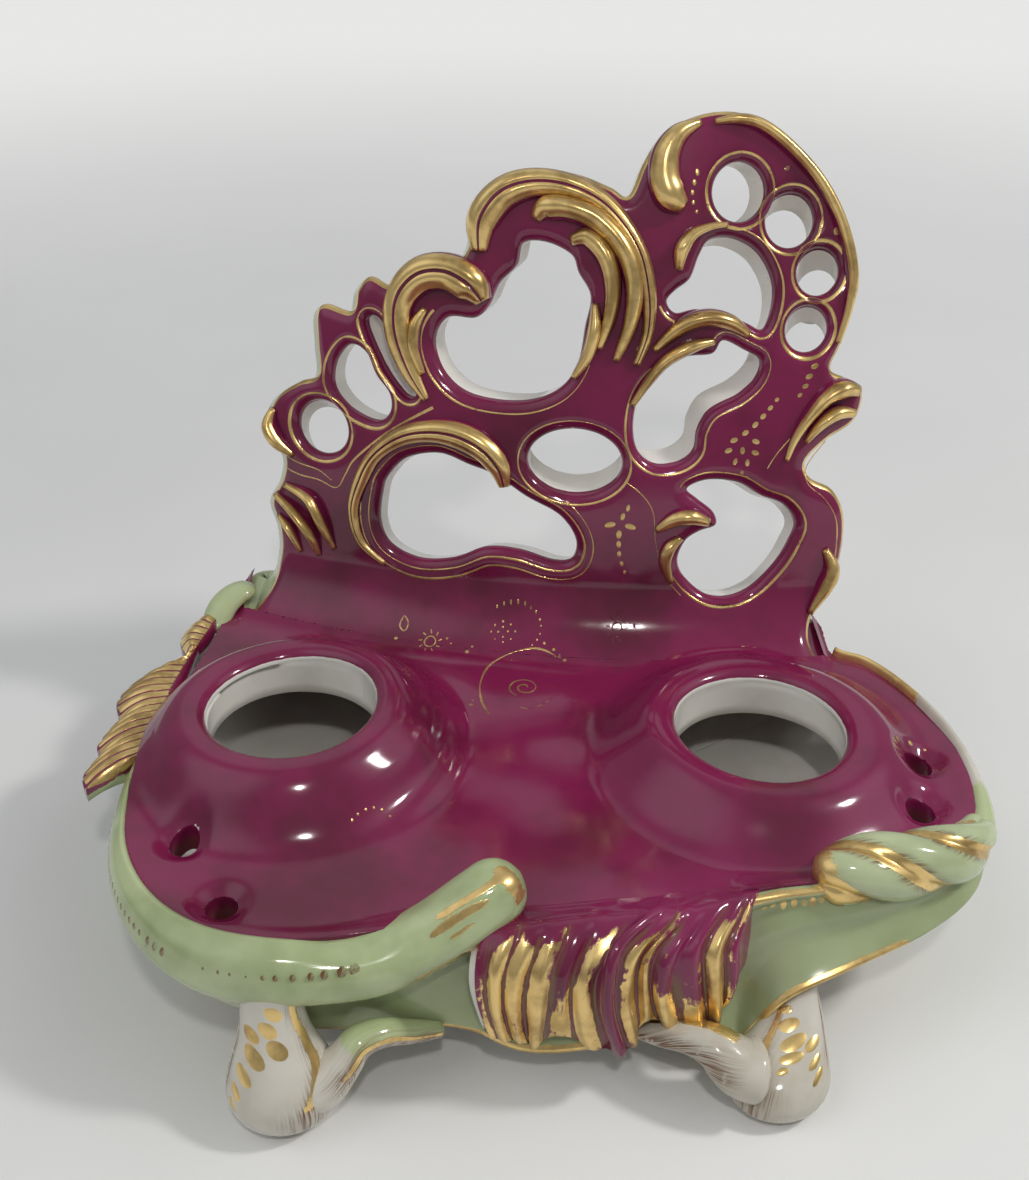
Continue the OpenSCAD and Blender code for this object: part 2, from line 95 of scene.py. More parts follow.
def spline(points, steps, closed=False):
    """Catmull-Rom curve through points: each stretch is the cubic that leaves a point in the direction
    from the point before it to the point after it."""
    p = np.asarray(points, float)
    n = len(p)
    if closed:
        i = np.arange(n)
        a, b, c, d = p[(i - 1) % n], p[i], p[(i + 1) % n], p[(i + 2) % n]
    else:
        i = np.arange(n - 1)
        a, b, c, d = p[np.maximum(i - 1, 0)], p[i], p[i + 1], p[np.minimum(i + 2, n - 1)]
    t = (np.arange(steps) / steps)[None, :, None]
    a, b, c, d = (q[:, None, :] for q in (a, b, c, d))
    bend = (2 * a - 5 * b + 4 * c - d) * t ** 2
    out = 0.5 * (2 * b + (c - a) * t + bend + (3 * b - a - 3 * c + d) * t ** 3)
    out = out.reshape(-1, p.shape[1])
    return out if closed else np.vstack([out, p[-1:]])


def evenly(path, spacing, closed=False, lead=2):
    """The path again with points a fixed distance apart, measured on its first lead coordinates."""
    p = np.vstack([path, path[:1]]) if closed else path
    run = np.r_[0.0, np.cumsum(np.linalg.norm(np.diff(p[:, :lead], axis=0), axis=1))]
    count = max(int(round(run[-1] / spacing)), 4)
    at = np.linspace(0.0, run[-1], count + 1)
    out = np.stack([np.interp(at, run, p[:, k]) for k in range(p.shape[1])], 1)
    return out[:-1] if closed else out


def headings(path, closed=False):
    """Unit direction of a path at each point, from its neighbours."""
    if closed:
        d = np.roll(path, -1, 0) - np.roll(path, 1, 0)
    else:
        d = np.gradient(path, axis=0)
    return d / np.maximum(np.linalg.norm(d, axis=1, keepdims=True), 1e-9)


def outward_of(path):
    """Outward unit normal of a closed plane outline, whichever way round it runs."""
    x, y = path[:, 0], path[:, 1]
    turn = np.sign(np.sum(x * np.roll(y, -1) - y * np.roll(x, -1)))
    h = headings(path, True)
    return turn * np.stack([h[:, 1], -h[:, 0]], 1)


def smooth(low, high, x):
    """0 below low, 1 above high, and 3t^2 - 2t^3 between."""
    t = np.clip((x - low) / (high - low), 0.0, 1.0)
    return t * t * (3.0 - 2.0 * t)


def unit(v):
    """Vectors v at length one."""
    return v / np.maximum(np.linalg.norm(v, axis=-1, keepdims=True), 1e-9)


def wander(x, y, seed, size=1.0):
    """A gentle uneven field: the mean of five sine waves in different directions."""
    rng = np.random.default_rng(seed)
    total = 0.0
    for _ in range(5):
        a, phase, wave = rng.uniform(0, 6.28), rng.uniform(0, 6.28), rng.uniform(0.7, 1.6) / size
        total = total + np.sin(wave * (np.cos(a) * x + np.sin(a) * y) + phase)
    return total / 5.0


# ---------------------------------------------------------------- meshes

MATERIALS = {}


def patch(grid, around=False, along=False, start_cap=False, end_cap=False, hint=(0, 0, 1), keep=None,
          **traits):
    """A grid of points (rows x columns) as quads. around closes the columns, along closes the rows, and a
    cap closes an end row with a fan. The faces look along hint: a direction, one direction a column, or
    "ring" for away from the middle of each row. keep marks the points whose faces stay."""
    n, m = grid.shape[:2]
    v = grid.reshape(-1, 3)
    i = np.arange(n if along else n - 1)[:, None]
    j = np.arange(m if around else m - 1)[None, :]
    a, b = i * m + j, i * m + (j + 1) % m
    c, d = ((i + 1) % n) * m + (j + 1) % m, ((i + 1) % n) * m + j
    quads = np.stack([a, b, c, d], -1).reshape(-1, 4)
    if keep is not None:
        quads = quads[keep.reshape(-1)[quads].all(1)]
    values = {k: np.broadcast_to(np.asarray(t, float), (n, m)).reshape(-1) for k, t in traits.items()}
    mid = v[quads].mean(1)
    face = np.cross(v[quads[:, 2]] - v[quads[:, 0]], v[quads[:, 3]] - v[quads[:, 1]])
    if isinstance(hint, str):
        look = mid - grid.mean(1)[quads[:, 0] // m]
    elif np.ndim(hint) == 2:
        look = hint[quads[:, 0] % m]
    else:
        look = np.broadcast_to(np.asarray(hint, float), mid.shape)
    inside_out = np.sum(face * look) < 0
    tris = []
    for wanted, row, sense in ((start_cap, 0, 1), (end_cap, n - 1, -1)):
        if wanted:
            ids = row * m + np.arange(m)
            nxt = np.roll(ids, -1)
            hub = np.full(m, len(v))
            v = np.vstack([v, grid[row].mean(0)])
            values = {k: np.r_[t, t[ids].mean()] for k, t in values.items()}
            order = [hub, nxt, ids] if sense > 0 else [hub, ids, nxt]
            tris.append(np.stack(order, 1))
    tris = np.vstack(tris) if tris else np.zeros((0, 3), int)
    if inside_out:
        quads, tris = quads[:, ::-1], tris[:, ::-1]
    return {"v": v, "q": quads, "t": tris, "values": values}


def piece(name, patches, material, stands_for=()):
    """One mesh object from patches, in the row frame and in metres, riding on the root body."""
    names = sorted({k for p in patches for k in p["values"]})
    shift, verts, quads, tris, values = 0, [], [], [], {k: [] for k in names}
    for p in patches:
        verts.append(p["v"])
        quads.append(p["q"] + shift)
        tris.append(p["t"] + shift)
        for k in names:
            values[k].append(p["values"].get(k, np.zeros(len(p["v"]))))
        shift += len(p["v"])
    v, q, t = np.vstack(verts), np.vstack(quads), np.vstack(tris)
    used = np.zeros(len(v), bool)
    used[q.reshape(-1)] = True
    used[t.reshape(-1)] = True
    new = np.cumsum(used) - 1
    v, q, t = (v[used] - MIDDLE) * MM, new[q], new[t]
    mesh = bpy.data.meshes.new(name)
    mesh.vertices.add(len(v))
    mesh.vertices.foreach_set("co", v.astype(np.float32).ravel())
    mesh.loops.add(q.size + t.size)
    mesh.loops.foreach_set("vertex_index", np.r_[q.ravel(), t.ravel()].astype(np.int32))
    mesh.polygons.add(len(q) + len(t))
    starts = np.r_[np.arange(len(q)) * 4, q.size + np.arange(len(t)) * 3]
    mesh.polygons.foreach_set("loop_start", starts.astype(np.int32))
    mesh.polygons.foreach_set("use_smooth", np.ones(len(q) + len(t), bool))
    mesh.update(calc_edges=True)
    for k in names:
        layer = mesh.attributes.new(k, "FLOAT", "POINT")
        layer.data.foreach_set("value", np.concatenate(values[k])[used].astype(np.float32))
    mesh.materials.append(MATERIALS[material])
    thing = bpy.data.objects.new(name, mesh)
    bpy.context.scene.collection.objects.link(thing)
    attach(thing, "root")
    if stands_for:
        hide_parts(*stands_for)
    return thing


# ---------------------------------------------------------------- finishes


class Nodes:
    """A node tree built up by short calls. Each value is a number, a colour or a socket to link from."""

    def __init__(self, tree):
        self.tree = tree
        self.tree.nodes.clear()

    def add(self, kind, **settings):
        """A new node with its settings."""
        node = self.tree.nodes.new(kind)
        for name, value in settings.items():
            setattr(node, name, value)
        return node

    def join(self, source, socket):
        """Set a socket to a value, or link it from another socket."""
        if isinstance(source, (int, float, tuple)):
            socket.default_value = source
        else:
            self.tree.links.new(source, socket)

    def math(self, operation, a, b=0.0, limit=False):
        """One operation on two values, held between 0 and 1 if limit is set."""
        node = self.add("ShaderNodeMath", operation=operation, use_clamp=limit)
        self.join(a, node.inputs[0])
        self.join(b, node.inputs[1])
        return node.outputs[0]

    def step(self, value, low, high, top=1.0, kind="SMOOTHSTEP"):
        """0 below low, top above high, smooth between."""
        node = self.add("ShaderNodeMapRange", interpolation_type=kind)
        self.join(value, node.inputs["Value"])
        node.inputs["From Min"].default_value = low
        node.inputs["From Max"].default_value = high
        node.inputs["To Max"].default_value = top
        return node.outputs["Result"]


class Finish(Nodes):
    """A named material with one glossy shader. Patterns are on Object coordinates, in metres."""

    def __init__(self, name):
        self.material = bpy.data.materials.new(name)
        self.material.use_nodes = True
        super().__init__(self.material.node_tree)
        self.shader = self.add("ShaderNodeBsdfPrincipled")
        self.out = self.add("ShaderNodeOutputMaterial")
        self.join(self.shader.outputs["BSDF"], self.out.inputs["Surface"])
        self.place = self.add("ShaderNodeTexCoord").outputs["Object"]
        MATERIALS[name] = self.material

    def noise(self, scale, detail=3.0, rough=0.55, place=None, bend=0.0):
        """Noise from 0 to 1 with about scale blots a metre, on the object's place or another one."""
        node = self.add("ShaderNodeTexNoise")
        node.inputs["Scale"].default_value = scale
        node.inputs["Detail"].default_value = detail
        node.inputs["Roughness"].default_value = rough
        node.inputs["Distortion"].default_value = bend
        self.join(self.place if place is None else place, node.inputs["Vector"])
        return node.outputs["Fac"]

    def cells(self, scale):
        """Distance to the nearest of many scattered points."""
        node = self.add("ShaderNodeTexVoronoi")
        node.inputs["Scale"].default_value = scale
        self.join(self.place, node.inputs["Vector"])
        return node.outputs["Distance"]

    def trait(self, name):
        """A value stored on the points of the mesh."""
        return self.add("ShaderNodeAttribute", attribute_name=name).outputs["Fac"]

    def blend(self, factor, a, b):
        """Colour a at factor 0, colour b at factor 1."""
        node = self.add("ShaderNodeMix", data_type="RGBA")
        self.join(factor, node.inputs[0])
        for value, socket in ((a, node.inputs[6]), (b, node.inputs[7])):
            if isinstance(value, tuple):
                value = value + (1.0,)
            self.join(value, socket)
        return node.outputs[2]


MAGENTA, MAGENTA_DEEP, MAGENTA_THIN = (0.215, 0.012, 0.070), (0.12, 0.008, 0.034), (0.30, 0.035, 0.13)
GREEN, GREEN_DEEP = (0.50, 0.58, 0.32), (0.31, 0.38, 0.18)
WHITE, WHITE_STAIN = (0.84, 0.82, 0.76), (0.55, 0.50, 0.40)
# Brown of brush strokes, also used as painted shade in the ruffle's creases and down the quill holes.
UMBER_AND_SHADE = (0.17, 0.085, 0.035)
GOLD, GOLD_BROWN = (0.86, 0.62, 0.25), (0.39, 0.24, 0.08)
PIN_HOLE = (0.05, 0.03, 0.02)


def fired_glazes(f, clouds, edge, ground, deep, thin):
    """Ground colour that gathers darker and thinner in patches, with the other glazes laid over it where
    their traits are high."""
    drift = f.noise(9.0, 2.0, 0.5)
    colour = f.blend(f.step(clouds, 0.38, 0.68), ground, deep)
    colour = f.blend(f.math("MULTIPLY", f.step(drift, 0.5, 0.75), 0.45), colour, thin)
    wobble = f.math("MULTIPLY", f.math("SUBTRACT", edge, 0.5), 0.5)
    for trait, near, far in (("magenta", MAGENTA, MAGENTA_DEEP), ("green", GREEN, GREEN_DEEP),
                             ("white", WHITE, WHITE_STAIN)):
        laid = f.blend(f.math("MULTIPLY", f.step(clouds, 0.45, 0.75), 0.4), near, far)
        colour = f.blend(f.step(f.math("ADD", f.trait(trait), wobble), 0.42, 0.58), colour, laid)
    return colour


def pin_holes(f, colour):
    """Small dark specks in a few patches of the glaze."""
    away = f.step(f.cells(190.0), 0.035, 0.075)
    sparse = f.step(f.noise(33.0, 1.0, 0.4), 0.56, 0.62)
    holes = f.math("MULTIPLY", f.math("SUBTRACT", 1.0, away), f.math("MULTIPLY", sparse, 0.6))
    return f.blend(holes, colour, PIN_HOLE)


def brush_streaks(f):
    """Noise drawn out along a piece, on its own traits run and side."""
    spread = f.add("ShaderNodeCombineXYZ")
    f.join(f.math("MULTIPLY", f.trait("run"), 0.09), spread.inputs[0])
    f.join(f.math("MULTIPLY", f.trait("side"), 1.5), spread.inputs[1])
    return f.noise(1.0, 3.0, 0.5, place=spread.outputs[0])


def worn_gilding(f, streaks, wear, patchy):
    """Where gold is left: the trait gilt, less a mean of fine noise and brush streaks."""
    rub = f.math("ADD", f.math("MULTIPLY", f.noise(160.0, 5.0, 0.7), 0.35),
                f.math("MULTIPLY", f.noise(420.0, 3.0, 0.6), 0.25))
    rub = f.math("ADD", rub, f.math("MULTIPLY", streaks, 0.4))
    cover = f.math("SUBTRACT", f.math("ADD", f.trait("gilt"), 0.5 - 0.5 * wear), rub)
    if patchy:
        worn = f.step(f.noise(75.0, 4.0, 0.6, bend=0.6), 0.40, 0.62)
        cover = f.math("SUBTRACT", cover, f.math("MULTIPLY", worn, patchy))
    return f.step(cover, 0.30 - 0.1 * wear, 0.42 - 0.1 * wear)


def glaze(name, ground, deep, thin, wear, patchy=0.0):
    """Glossy glaze over a ground colour. The traits white, green, magenta, gilt and a brown one (0 to 1) lay
    the other glazes, brown brush strokes that also paint shade in creases and holes, and worn gilding over
    it, each with an edge that noise makes uneven."""
    f = Finish(name)
    clouds = f.noise(28.0, 4.0, 0.6)
    edge = f.noise(330.0, 3.0, 0.6)
    colour = pin_holes(f, fired_glazes(f, clouds, edge, ground, deep, thin))
    streaks = brush_streaks(f)
    gilt = worn_gilding(f, streaks, wear, patchy)
    drawn = f.math("ADD", 0.25, f.step(streaks, 0.42, 0.6))
    # Brown from the brown trait: brush strokes, and painted shade in the ruffle's creases and down the quill
    # holes.
    brushed = f.math("MULTIPLY", f.trait("umber"), drawn, True)
    colour = f.blend(f.math("MULTIPLY", brushed, f.step(edge, 0.25, 0.45)), colour, UMBER_AND_SHADE)
    tarnish = f.step(f.noise(70.0, 4.0, 0.65), 0.42, 0.66)
    gold = f.blend(f.math("MULTIPLY", tarnish, 0.75), GOLD, GOLD_BROWN)
    f.join(f.blend(gilt, colour, gold), f.shader.inputs["Base Color"])
    f.join(f.math("MULTIPLY", gilt, 0.85), f.shader.inputs["Metallic"])
    f.join(f.math("ADD", 0.12, f.math("MULTIPLY", gilt, 0.16)), f.shader.inputs["Roughness"])
    f.shader.inputs["IOR"].default_value = 1.52
    f.shader.inputs["Coat Weight"].default_value = 0.15
    f.shader.inputs["Coat Roughness"].default_value = 0.04
    bump = f.add("ShaderNodeBump")
    bump.inputs["Strength"].default_value = 0.35
    bump.inputs["Distance"].default_value = 0.0004
    height = f.math("ADD", f.noise(60.0, 2.0, 0.5), f.math("MULTIPLY", gilt, 0.25))
    f.join(height, bump.inputs["Height"])
    f.join(bump.outputs["Normal"], f.shader.inputs["Normal"])


glaze("magenta_glaze", MAGENTA, MAGENTA_DEEP, MAGENTA_THIN, 0.35)
glaze("green_glaze", GREEN, GREEN_DEEP, (0.55, 0.60, 0.42), 0.55)
# A darker copy of the green glaze: painted shade for the skirt and the body, which sit in shade under the
# deck.
glaze("green_painted_shade", (0.38, 0.44, 0.24), (0.26, 0.32, 0.15), (0.47, 0.53, 0.33), 0.55)
glaze("white_glaze", (0.68, 0.65, 0.57), (0.52, 0.48, 0.39), (0.75, 0.73, 0.68), 0.5)
glaze("gilded_scroll", MAGENTA, MAGENTA_DEEP, MAGENTA_DEEP, 0.45)
glaze("gilded_ruffle", MAGENTA, MAGENTA_DEEP, MAGENTA_THIN, 0.45, 0.36)

# ---------------------------------------------------------------- the deck's edge and height

DECK_TOP, DECK_UNDER = 46.0, 41.0
# [across, along] round the deck's edge, from its back left corner past the left, the front and the right
DECK = np.array([
    [-84, 94], [-90, 72], [-93, 50], [-97, 26], [-100, 4], [-101, -20], [-97, -42], [-87, -59], [-72, -70],
    [-52, -74], [-30, -71], [-12, -66], [8, -65], [31, -62], [54, -58], [76, -55], [97, -51], [112, -42],
    [119, -28], [121, -10], [119, 8], [113, 25], [105, 38], [96, 45], [92.5, 66], [60, 69], [20, 71],
    [-20, 78], [-54, 87]], float)
EDGE_STEPS = 24                    # stretches of the edge from one of these points to the next
EDGE = spline(DECK, EDGE_STEPS, True)
EDGE_OUT = outward_of(EDGE)
WELLS = {"left": ((-60.5, 0.5), 15.0), "right": ((66.5, -3.0), 10.0)}      # middle, rise over the deck
LIP = 26.5                         # radius of the middle of a well's lip
DECK_BORE = 32.0                   # radius of the deck's openings under the bosses
FILLET = 20.0                      # radius of the gallery's foot
QUILL_BORE = 4.0                   # radius of a quill hole
# The deck's skin gives way to the gallery's on the foot, CUT in front of the wall and CUT_RISE up.
CUT = 12.0
CUT_RISE = FILLET - math.sqrt(FILLET ** 2 - (FILLET - CUT) ** 2)


def quill(well, turn, gap):
    """Middle of a quill hole, at a turn round a well and a gap out from its flat ring."""
    (x, y), _ = WELLS[well]
    far = 41.0 + gap
    return x + far * math.cos(math.radians(turn)), y + far * math.sin(math.radians(turn))


QUILLS = [quill("left", 240, 4.5), quill("left", 261, 21), quill("right", -7, 2), quill("right", -31, 4.5)]


def edge_at(k):
    """Point and outward direction on the deck edge at place k, counted in its drawn points."""
    s = np.asarray(k, float) * EDGE_STEPS
    i = np.floor(s).astype(int)
    t = (s - i)[..., None]
    n = len(EDGE)
    p = EDGE[i % n] * (1 - t) + EDGE[(i + 1) % n] * t
    return p, unit(EDGE_OUT[i % n] * (1 - t) + EDGE_OUT[(i + 1) % n] * t)


def gallery_y(x, z):
    """Front of the gallery without its foot: a tall ring of radius 320 that shrinks as it leans back."""
    rise = np.maximum(z - DECK_TOP, 0.0)
    radius = 320.0 - (0.12 * rise + 0.0013 * rise ** 2)
    return 370.0 - np.sqrt(radius ** 2 - (x - 50.0) ** 2)


def foot_reach(z):
    """How far the gallery's foot stands forward at height z: a quarter circle that lands flat on the deck."""
    u = np.clip(1.0 - (z - DECK_TOP) / FILLET, 0.0, 1.0)
    return FILLET * (1.0 - np.sqrt(1.0 - u * u))


def bosses(x, y):
    """Rise of the two bosses over the deck: a raised cosine from the lip out to where the deck is flat, with
    a soft ridge that winds down beside the left one."""
    total = 0.0
    for (cx, cy), rise in WELLS.values():
        r = np.hypot(x - cx, y - cy)
        t = np.clip((r - 28.5) / 21.5, 0.0, 1.0)
        total = total + rise * (0.5 + 0.5 * np.cos(math.pi * t)) ** 1.25
    cx, cy = WELLS["left"][0]
    r, turn = np.hypot(x - cx, y - cy), np.degrees(np.arctan2(y - cy, x - cx))
    winds = smooth(78.0, 48.0, turn) * smooth(-62.0, -25.0, turn)
    for middle, wide, high in ((38.0 + 0.02 * turn, 2.6, 1.3), (44.5 - 0.03 * turn, 3.0, 1.7)):
        total = total + high * winds * np.exp(-((r - middle) / wide) ** 2)
    return total


def climb_at(x, y):
    """Height of the gallery's foot over the deck at a point: the quarter circle, solved three times over
    because the gallery leans back."""
    z = DECK_TOP + 0.0 * x
    for _ in range(3):
        gap = np.clip(gallery_y(x, z) - y, 0.0, FILLET)
        z = DECK_TOP + FILLET - np.sqrt(np.maximum(FILLET ** 2 - (FILLET - gap) ** 2, 0.0))
    ends = np.minimum(smooth(95.5, 92.5, x), smooth(-88.5, -85.5, x))
    middle = np.minimum(smooth(88.0, 81.0, x), smooth(-82.0, -75.0, x))
    return np.minimum(z - DECK_TOP, CUT_RISE + (FILLET - CUT_RISE) * middle) * ends


def deck_height(x, y, from_edge=99.0):
    """Deck surface: flat, plus the bosses, plus the quarter-circle foot of the gallery, less the dishes
    round the quill holes, with a slight lift along the outer edge."""
    climb = climb_at(x, y)
    dishes = sum(2.6 * np.exp(-(np.hypot(x - qx, y - qy) / 6.2) ** 4) for qx, qy in QUILLS)
    uneven = 0.25 * wander(x, y, 3, 16.0) * smooth(3.0, 0.0, climb)
    lift = 1.4 * np.exp(-(np.clip(from_edge, 0.0, 50.0) / 4.5) ** 2) * smooth(15.0, -10.0, y)
    lift = lift * (1.0 - smooth(-26.0, -14.0, x) * smooth(57.0, 49.0, x))
    return DECK_TOP + bosses(x, y) * (1.0 - climb / FILLET) + climb - dishes + uneven + lift


def nearest(points, line, out):
    """Signed distance from points to a closely sampled line, positive on the side its normals point to."""
    best = np.full(len(points), 1e9)
    sign = np.ones(len(points))
    for start in range(0, len(points), 4000):
        p = points[start:start + 4000]
        d = ((p[:, None, :] - line[None, :, :]) ** 2).sum(-1)
        k = d.argmin(1)
        best[start:start + 4000] = np.sqrt(d[np.arange(len(p)), k])
        sign[start:start + 4000] = np.where(((p - line[k]) * out[k]).sum(1) >= 0, 1.0, -1.0)
    return best * sign


def snapped(x, y, inside, cell):
    """Moves the grid points just outside inside = 0 onto it, along its slope, and says which points stay."""
    gy, gx = np.gradient(inside, y[:, 0], x[0, :])
    size = np.maximum(np.hypot(gx, gy), 1e-6)
    edge = (inside < 0) & (inside > -0.85 * cell)
    far = np.where(edge, -inside, 0.0)
    return x + far * gx / size, y + far * gy / size, inside > -0.85 * cell


# ---- deck skin

SKIN_CELL = 0.8
BOSS_SEAM = 36.5                   # radius at which the deck's skin gives way to a boss
FOOT_ENDS = (-86.0, 93.0)          # how far across the gallery's foot runs


def deck_top():
    """The deck's surface on a square grid, cut out at the bosses, the quill holes and the deck's edge, and
    along the gallery's foot."""
    x, y = np.meshgrid(np.arange(-103.0, 124.0, SKIN_CELL), np.arange(-77.0, 96.0, SKIN_CELL))
    from_edge = -nearest(np.stack([x.ravel(), y.ravel()], 1), EDGE, EDGE_OUT).reshape(x.shape)
    inside = from_edge
    for (cx, cy), _ in WELLS.values():
        inside = np.minimum(inside, np.hypot(x - cx, y - cy) - BOSS_SEAM)
    for qx, qy in QUILLS:
        inside = np.minimum(inside, np.hypot(x - qx, y - qy) - QUILL_BORE)
    before_wall = gallery_y(x, DECK_TOP + CUT_RISE + 0 * x) - CUT - y
    past_ends = np.maximum(x - FOOT_ENDS[1], FOOT_ENDS[0] - x)
    inside = np.minimum(inside, np.maximum(before_wall, past_ends))
    x, y, stays = snapped(x, y, inside, SKIN_CELL)
    return patch(np.stack([x, y, deck_height(x, y, from_edge)], -1), keep=stays)


def quill_wall(x, y):
    """Wall of a quill hole: rings that follow the deck's surface down, a little narrower below its lip."""
    turn = np.linspace(0, 2 * math.pi, 48, endpoint=False)[None, :]
    deep = np.array([0.0, 0.4, 1.0, 2.0, 5.0, 8.0])[:, None]
    radius = QUILL_BORE - 0.15 * (deep > 0)
    top = deck_height(x + QUILL_BORE * np.cos(turn), y + QUILL_BORE * np.sin(turn))
    rings = np.stack([x + radius * np.cos(turn), y + radius * np.sin(turn), top - deep], -1)
    # The brown trait grows with depth: painted shade down the hole.
    return patch(rings, around=True, umber=0.7 * smooth(2.0, 6.0, deep))


def edge_rows(places, rows):
    """Rows that follow the deck's edge at the given places, each at a distance in from it and at a height."""
    p, out = edge_at(places)
    return np.stack([np.concatenate([p - out * far, (z + 0 * places)[:, None]], 1) for far, z in rows])


def back_ledge():
    """The strip of deck behind the gallery, a little lower where the deck's surface runs over its ends."""
    places = np.linspace(22.4, 30.2, 200)
    dip = 0.5 * (smooth(23.8, 23.2, places) + smooth(29.2, 29.6, places))
    rows = [(far, z - dip) for far, z in ((15.0, 45.6), (8.0, 45.9), (1.2, 45.9), (0.4, 45.6), (0.0, 45.0),
                                          (0.0, DECK_UNDER - 0.1))]
    return patch(edge_rows(places, rows), hint=(0, 1, 0.5), green=smooth(23.4, 24.2, places)[None, :])


def edge_wall():
    """The outer wall of the deck, from the surface's own height down to the body, turning green half way."""
    places = np.linspace(1.2, 22.6, 430)
    p, out = edge_at(places)
    near = p - 0.3 * out
    top = deck_height(near[:, 0], near[:, 1], 0.3)
    rows = [(far, top * share + (DECK_UNDER - 0.1) * (1 - share))
            for far, share in ((0.6, 0.998), (0.1, 0.99), (0.0, 0.95), (0.0, 0.6), (0.0, 0.3), (0.0, 0.0))]
    return patch(edge_rows(places, rows), hint="ring", green=np.array([0, 0, 0, 0, 1.0, 1.0])[:, None])


piece("deck_skin", [deck_top(), back_ledge(), edge_wall()] + [quill_wall(*place) for place in QUILLS],
      "magenta_glaze", ["deck_plate"])

# ---- worn gilt drawing on the deck


def deck_point(x, y, lift=0.0):
    """Deck surface at x, y, raised by lift along its normal."""
    h = 0.15
    dx = (deck_height(x + h, y) - deck_height(x - h, y)) / (2 * h)
    dy = (deck_height(x, y + h) - deck_height(x, y - h)) / (2 * h)
    n = unit(np.stack([-dx, -dy, 1.0 + 0 * dx], -1))
    return np.stack([x, y, deck_height(x, y)], -1) + n * np.asarray(lift)[..., None]


def deck_line(points, wide=0.7, closed=False, gilt=0.6):
    """A thin gilt line over the deck along [across, along] points, its width swelling and thinning."""
    path = evenly(spline(points, 14, closed), 0.5, closed)
    h = headings(path, closed)
    side = np.stack([h[:, 1], -h[:, 0]], 1)
    swell = 0.85 + 0.3 * np.sin(np.arange(len(path)) * 0.17)
    rows = [deck_point(*(path + side * (v * wide / 2 * swell)[:, None]).T, up + 0 * swell)
            for v, up in ((-1, -0.02), (-0.5, 0.05), (0, 0.07), (0.5, 0.05), (1, -0.02))]
    return patch(np.stack(rows), around=closed, hint=(0, 0, 1), gilt=gilt)


def deck_dot(x, y, size, gilt=0.7):
    """A low round gilt dot on the deck."""
    rho = np.array([0.03, 0.5, 0.85, 1.0])[:, None]
    phi = np.linspace(0, 2 * math.pi, 14, endpoint=False)[None, :]
    dome = 0.1 * (1 - rho ** 2) - 0.03 + 0 * phi
    p = deck_point(x + size * rho * np.cos(phi), y + size * rho * np.sin(phi), dome)
    return patch(p, around=True, start_cap=True, hint=(0, 0, 1), gilt=gilt)


def turned(x, y, radius, turns):
    """Points of a circle at the given turns, in degrees."""
    t = np.radians(np.asarray(turns, float))
    return np.stack([x + radius * np.cos(t), y + radius * np.sin(t)], 1)


COIL_MIDDLE = (3.0, 27.0)
ARC = [[12.5, 40.5], [8.5, 42.8], [4, 43.3], [-2.5, 41.7], [-7.6, 37.7], [-9.8, 30.6], [-10, 24], [-9, 18.3],
       [-7, 13.5]]
TAIL = [[11, 22], [7.6, 18.3], [3.6, 16.5], [-0.7, 18.8]]
LEAF = [[-33.7, 52.2], [-35.2, 54.0], [-33.9, 56.2], [-32.6, 54.2]]
SUNS = ((-25.7, 48.0, 1.0, 0.65), (30.9, 46.8, 0.9, 0.45))       # across, along, size, how gilt
LOOSE_DOTS = (                     # across, along, radius
    (13.5, 40.8, 0.9), (15, 39.2, 0.6), (11.8, 42.6, 0.6), (9, 44.6, 0.5), (-14.3, 43.6, 0.7),
    (-12.8, 45.2, 0.4), (-12.5, 18.3, 0.7), (-36.2, 50.2, 0.6), (-12, 20.4, 0.35))
RING_DOTS = (
    (-3.5, 50.9), (-1.1, 50.0), (0.2, 48.3), (-1.1, 46.5), (-3.5, 45.8), (-5.9, 46.9), (-7.1, 48.9),
    (-5.9, 50.4), (-3.5, 49.7), (-2.0, 48.5), (-3.5, 47.3), (-5.0, 48.7))
SWEEP_DOTS = (
    (-5.3, 53.9), (-3.2, 54.0), (-1.1, 53.9), (1.1, 53.7), (3.2, 53.2), (5.0, 52.5), (6.5, 51.7),
    (7.7, 50.2), (8.0, 48.9), (7.7, 47.1), (6.8, 45.7), (5.3, 44.3), (3.5, 43.3))
BOSS_DOTS = ((-41, -35.9), (-39.6, -34.4), (-37.7, -32.9), (-35.8, -31.9), (-33.8, -31.5), (-31.8, -32.3))
QUILL_DOTS = (                     # turn in degrees, radius
    (60, 0.7), (95, 0.8), (140, 0.7), (160, 0.9), (182, 0.9), (205, 0.6), (20, 0.6))


def coil():
    """A spiral whose radius grows evenly over nearly two turns."""
    turns = np.arange(0.0, 620.0, 30.0)
    radius = 0.8 + turns / 150.0
    x = COIL_MIDDLE[0] + radius * np.cos(np.radians(turns))
    y = COIL_MIDDLE[1] + radius * np.sin(np.radians(turns))
    return deck_line(np.stack([x, y], 1), 0.6)


def sun(x, y, size, gold):
    """A small ring with nine rays and two dots beside it."""
    ring_line = deck_line(turned(x, y, 1.7 * size, range(0, 360, 45)), 0.5, True, gold)
    rays = []
    for turn in range(0, 360, 40):
        ray = [turned(x, y, 2.5 * size, [turn])[0], turned(x, y, 3.6 * size, [turn + 6])[0]]
        rays.append(deck_line(ray, 0.5, gilt=gold))
    dots = [deck_dot(x + 5.2, y + 0.5, 0.5, gold), deck_dot(x + 6.4, y - 1.2, 0.35, gold)]
    return [ring_line] + rays + dots


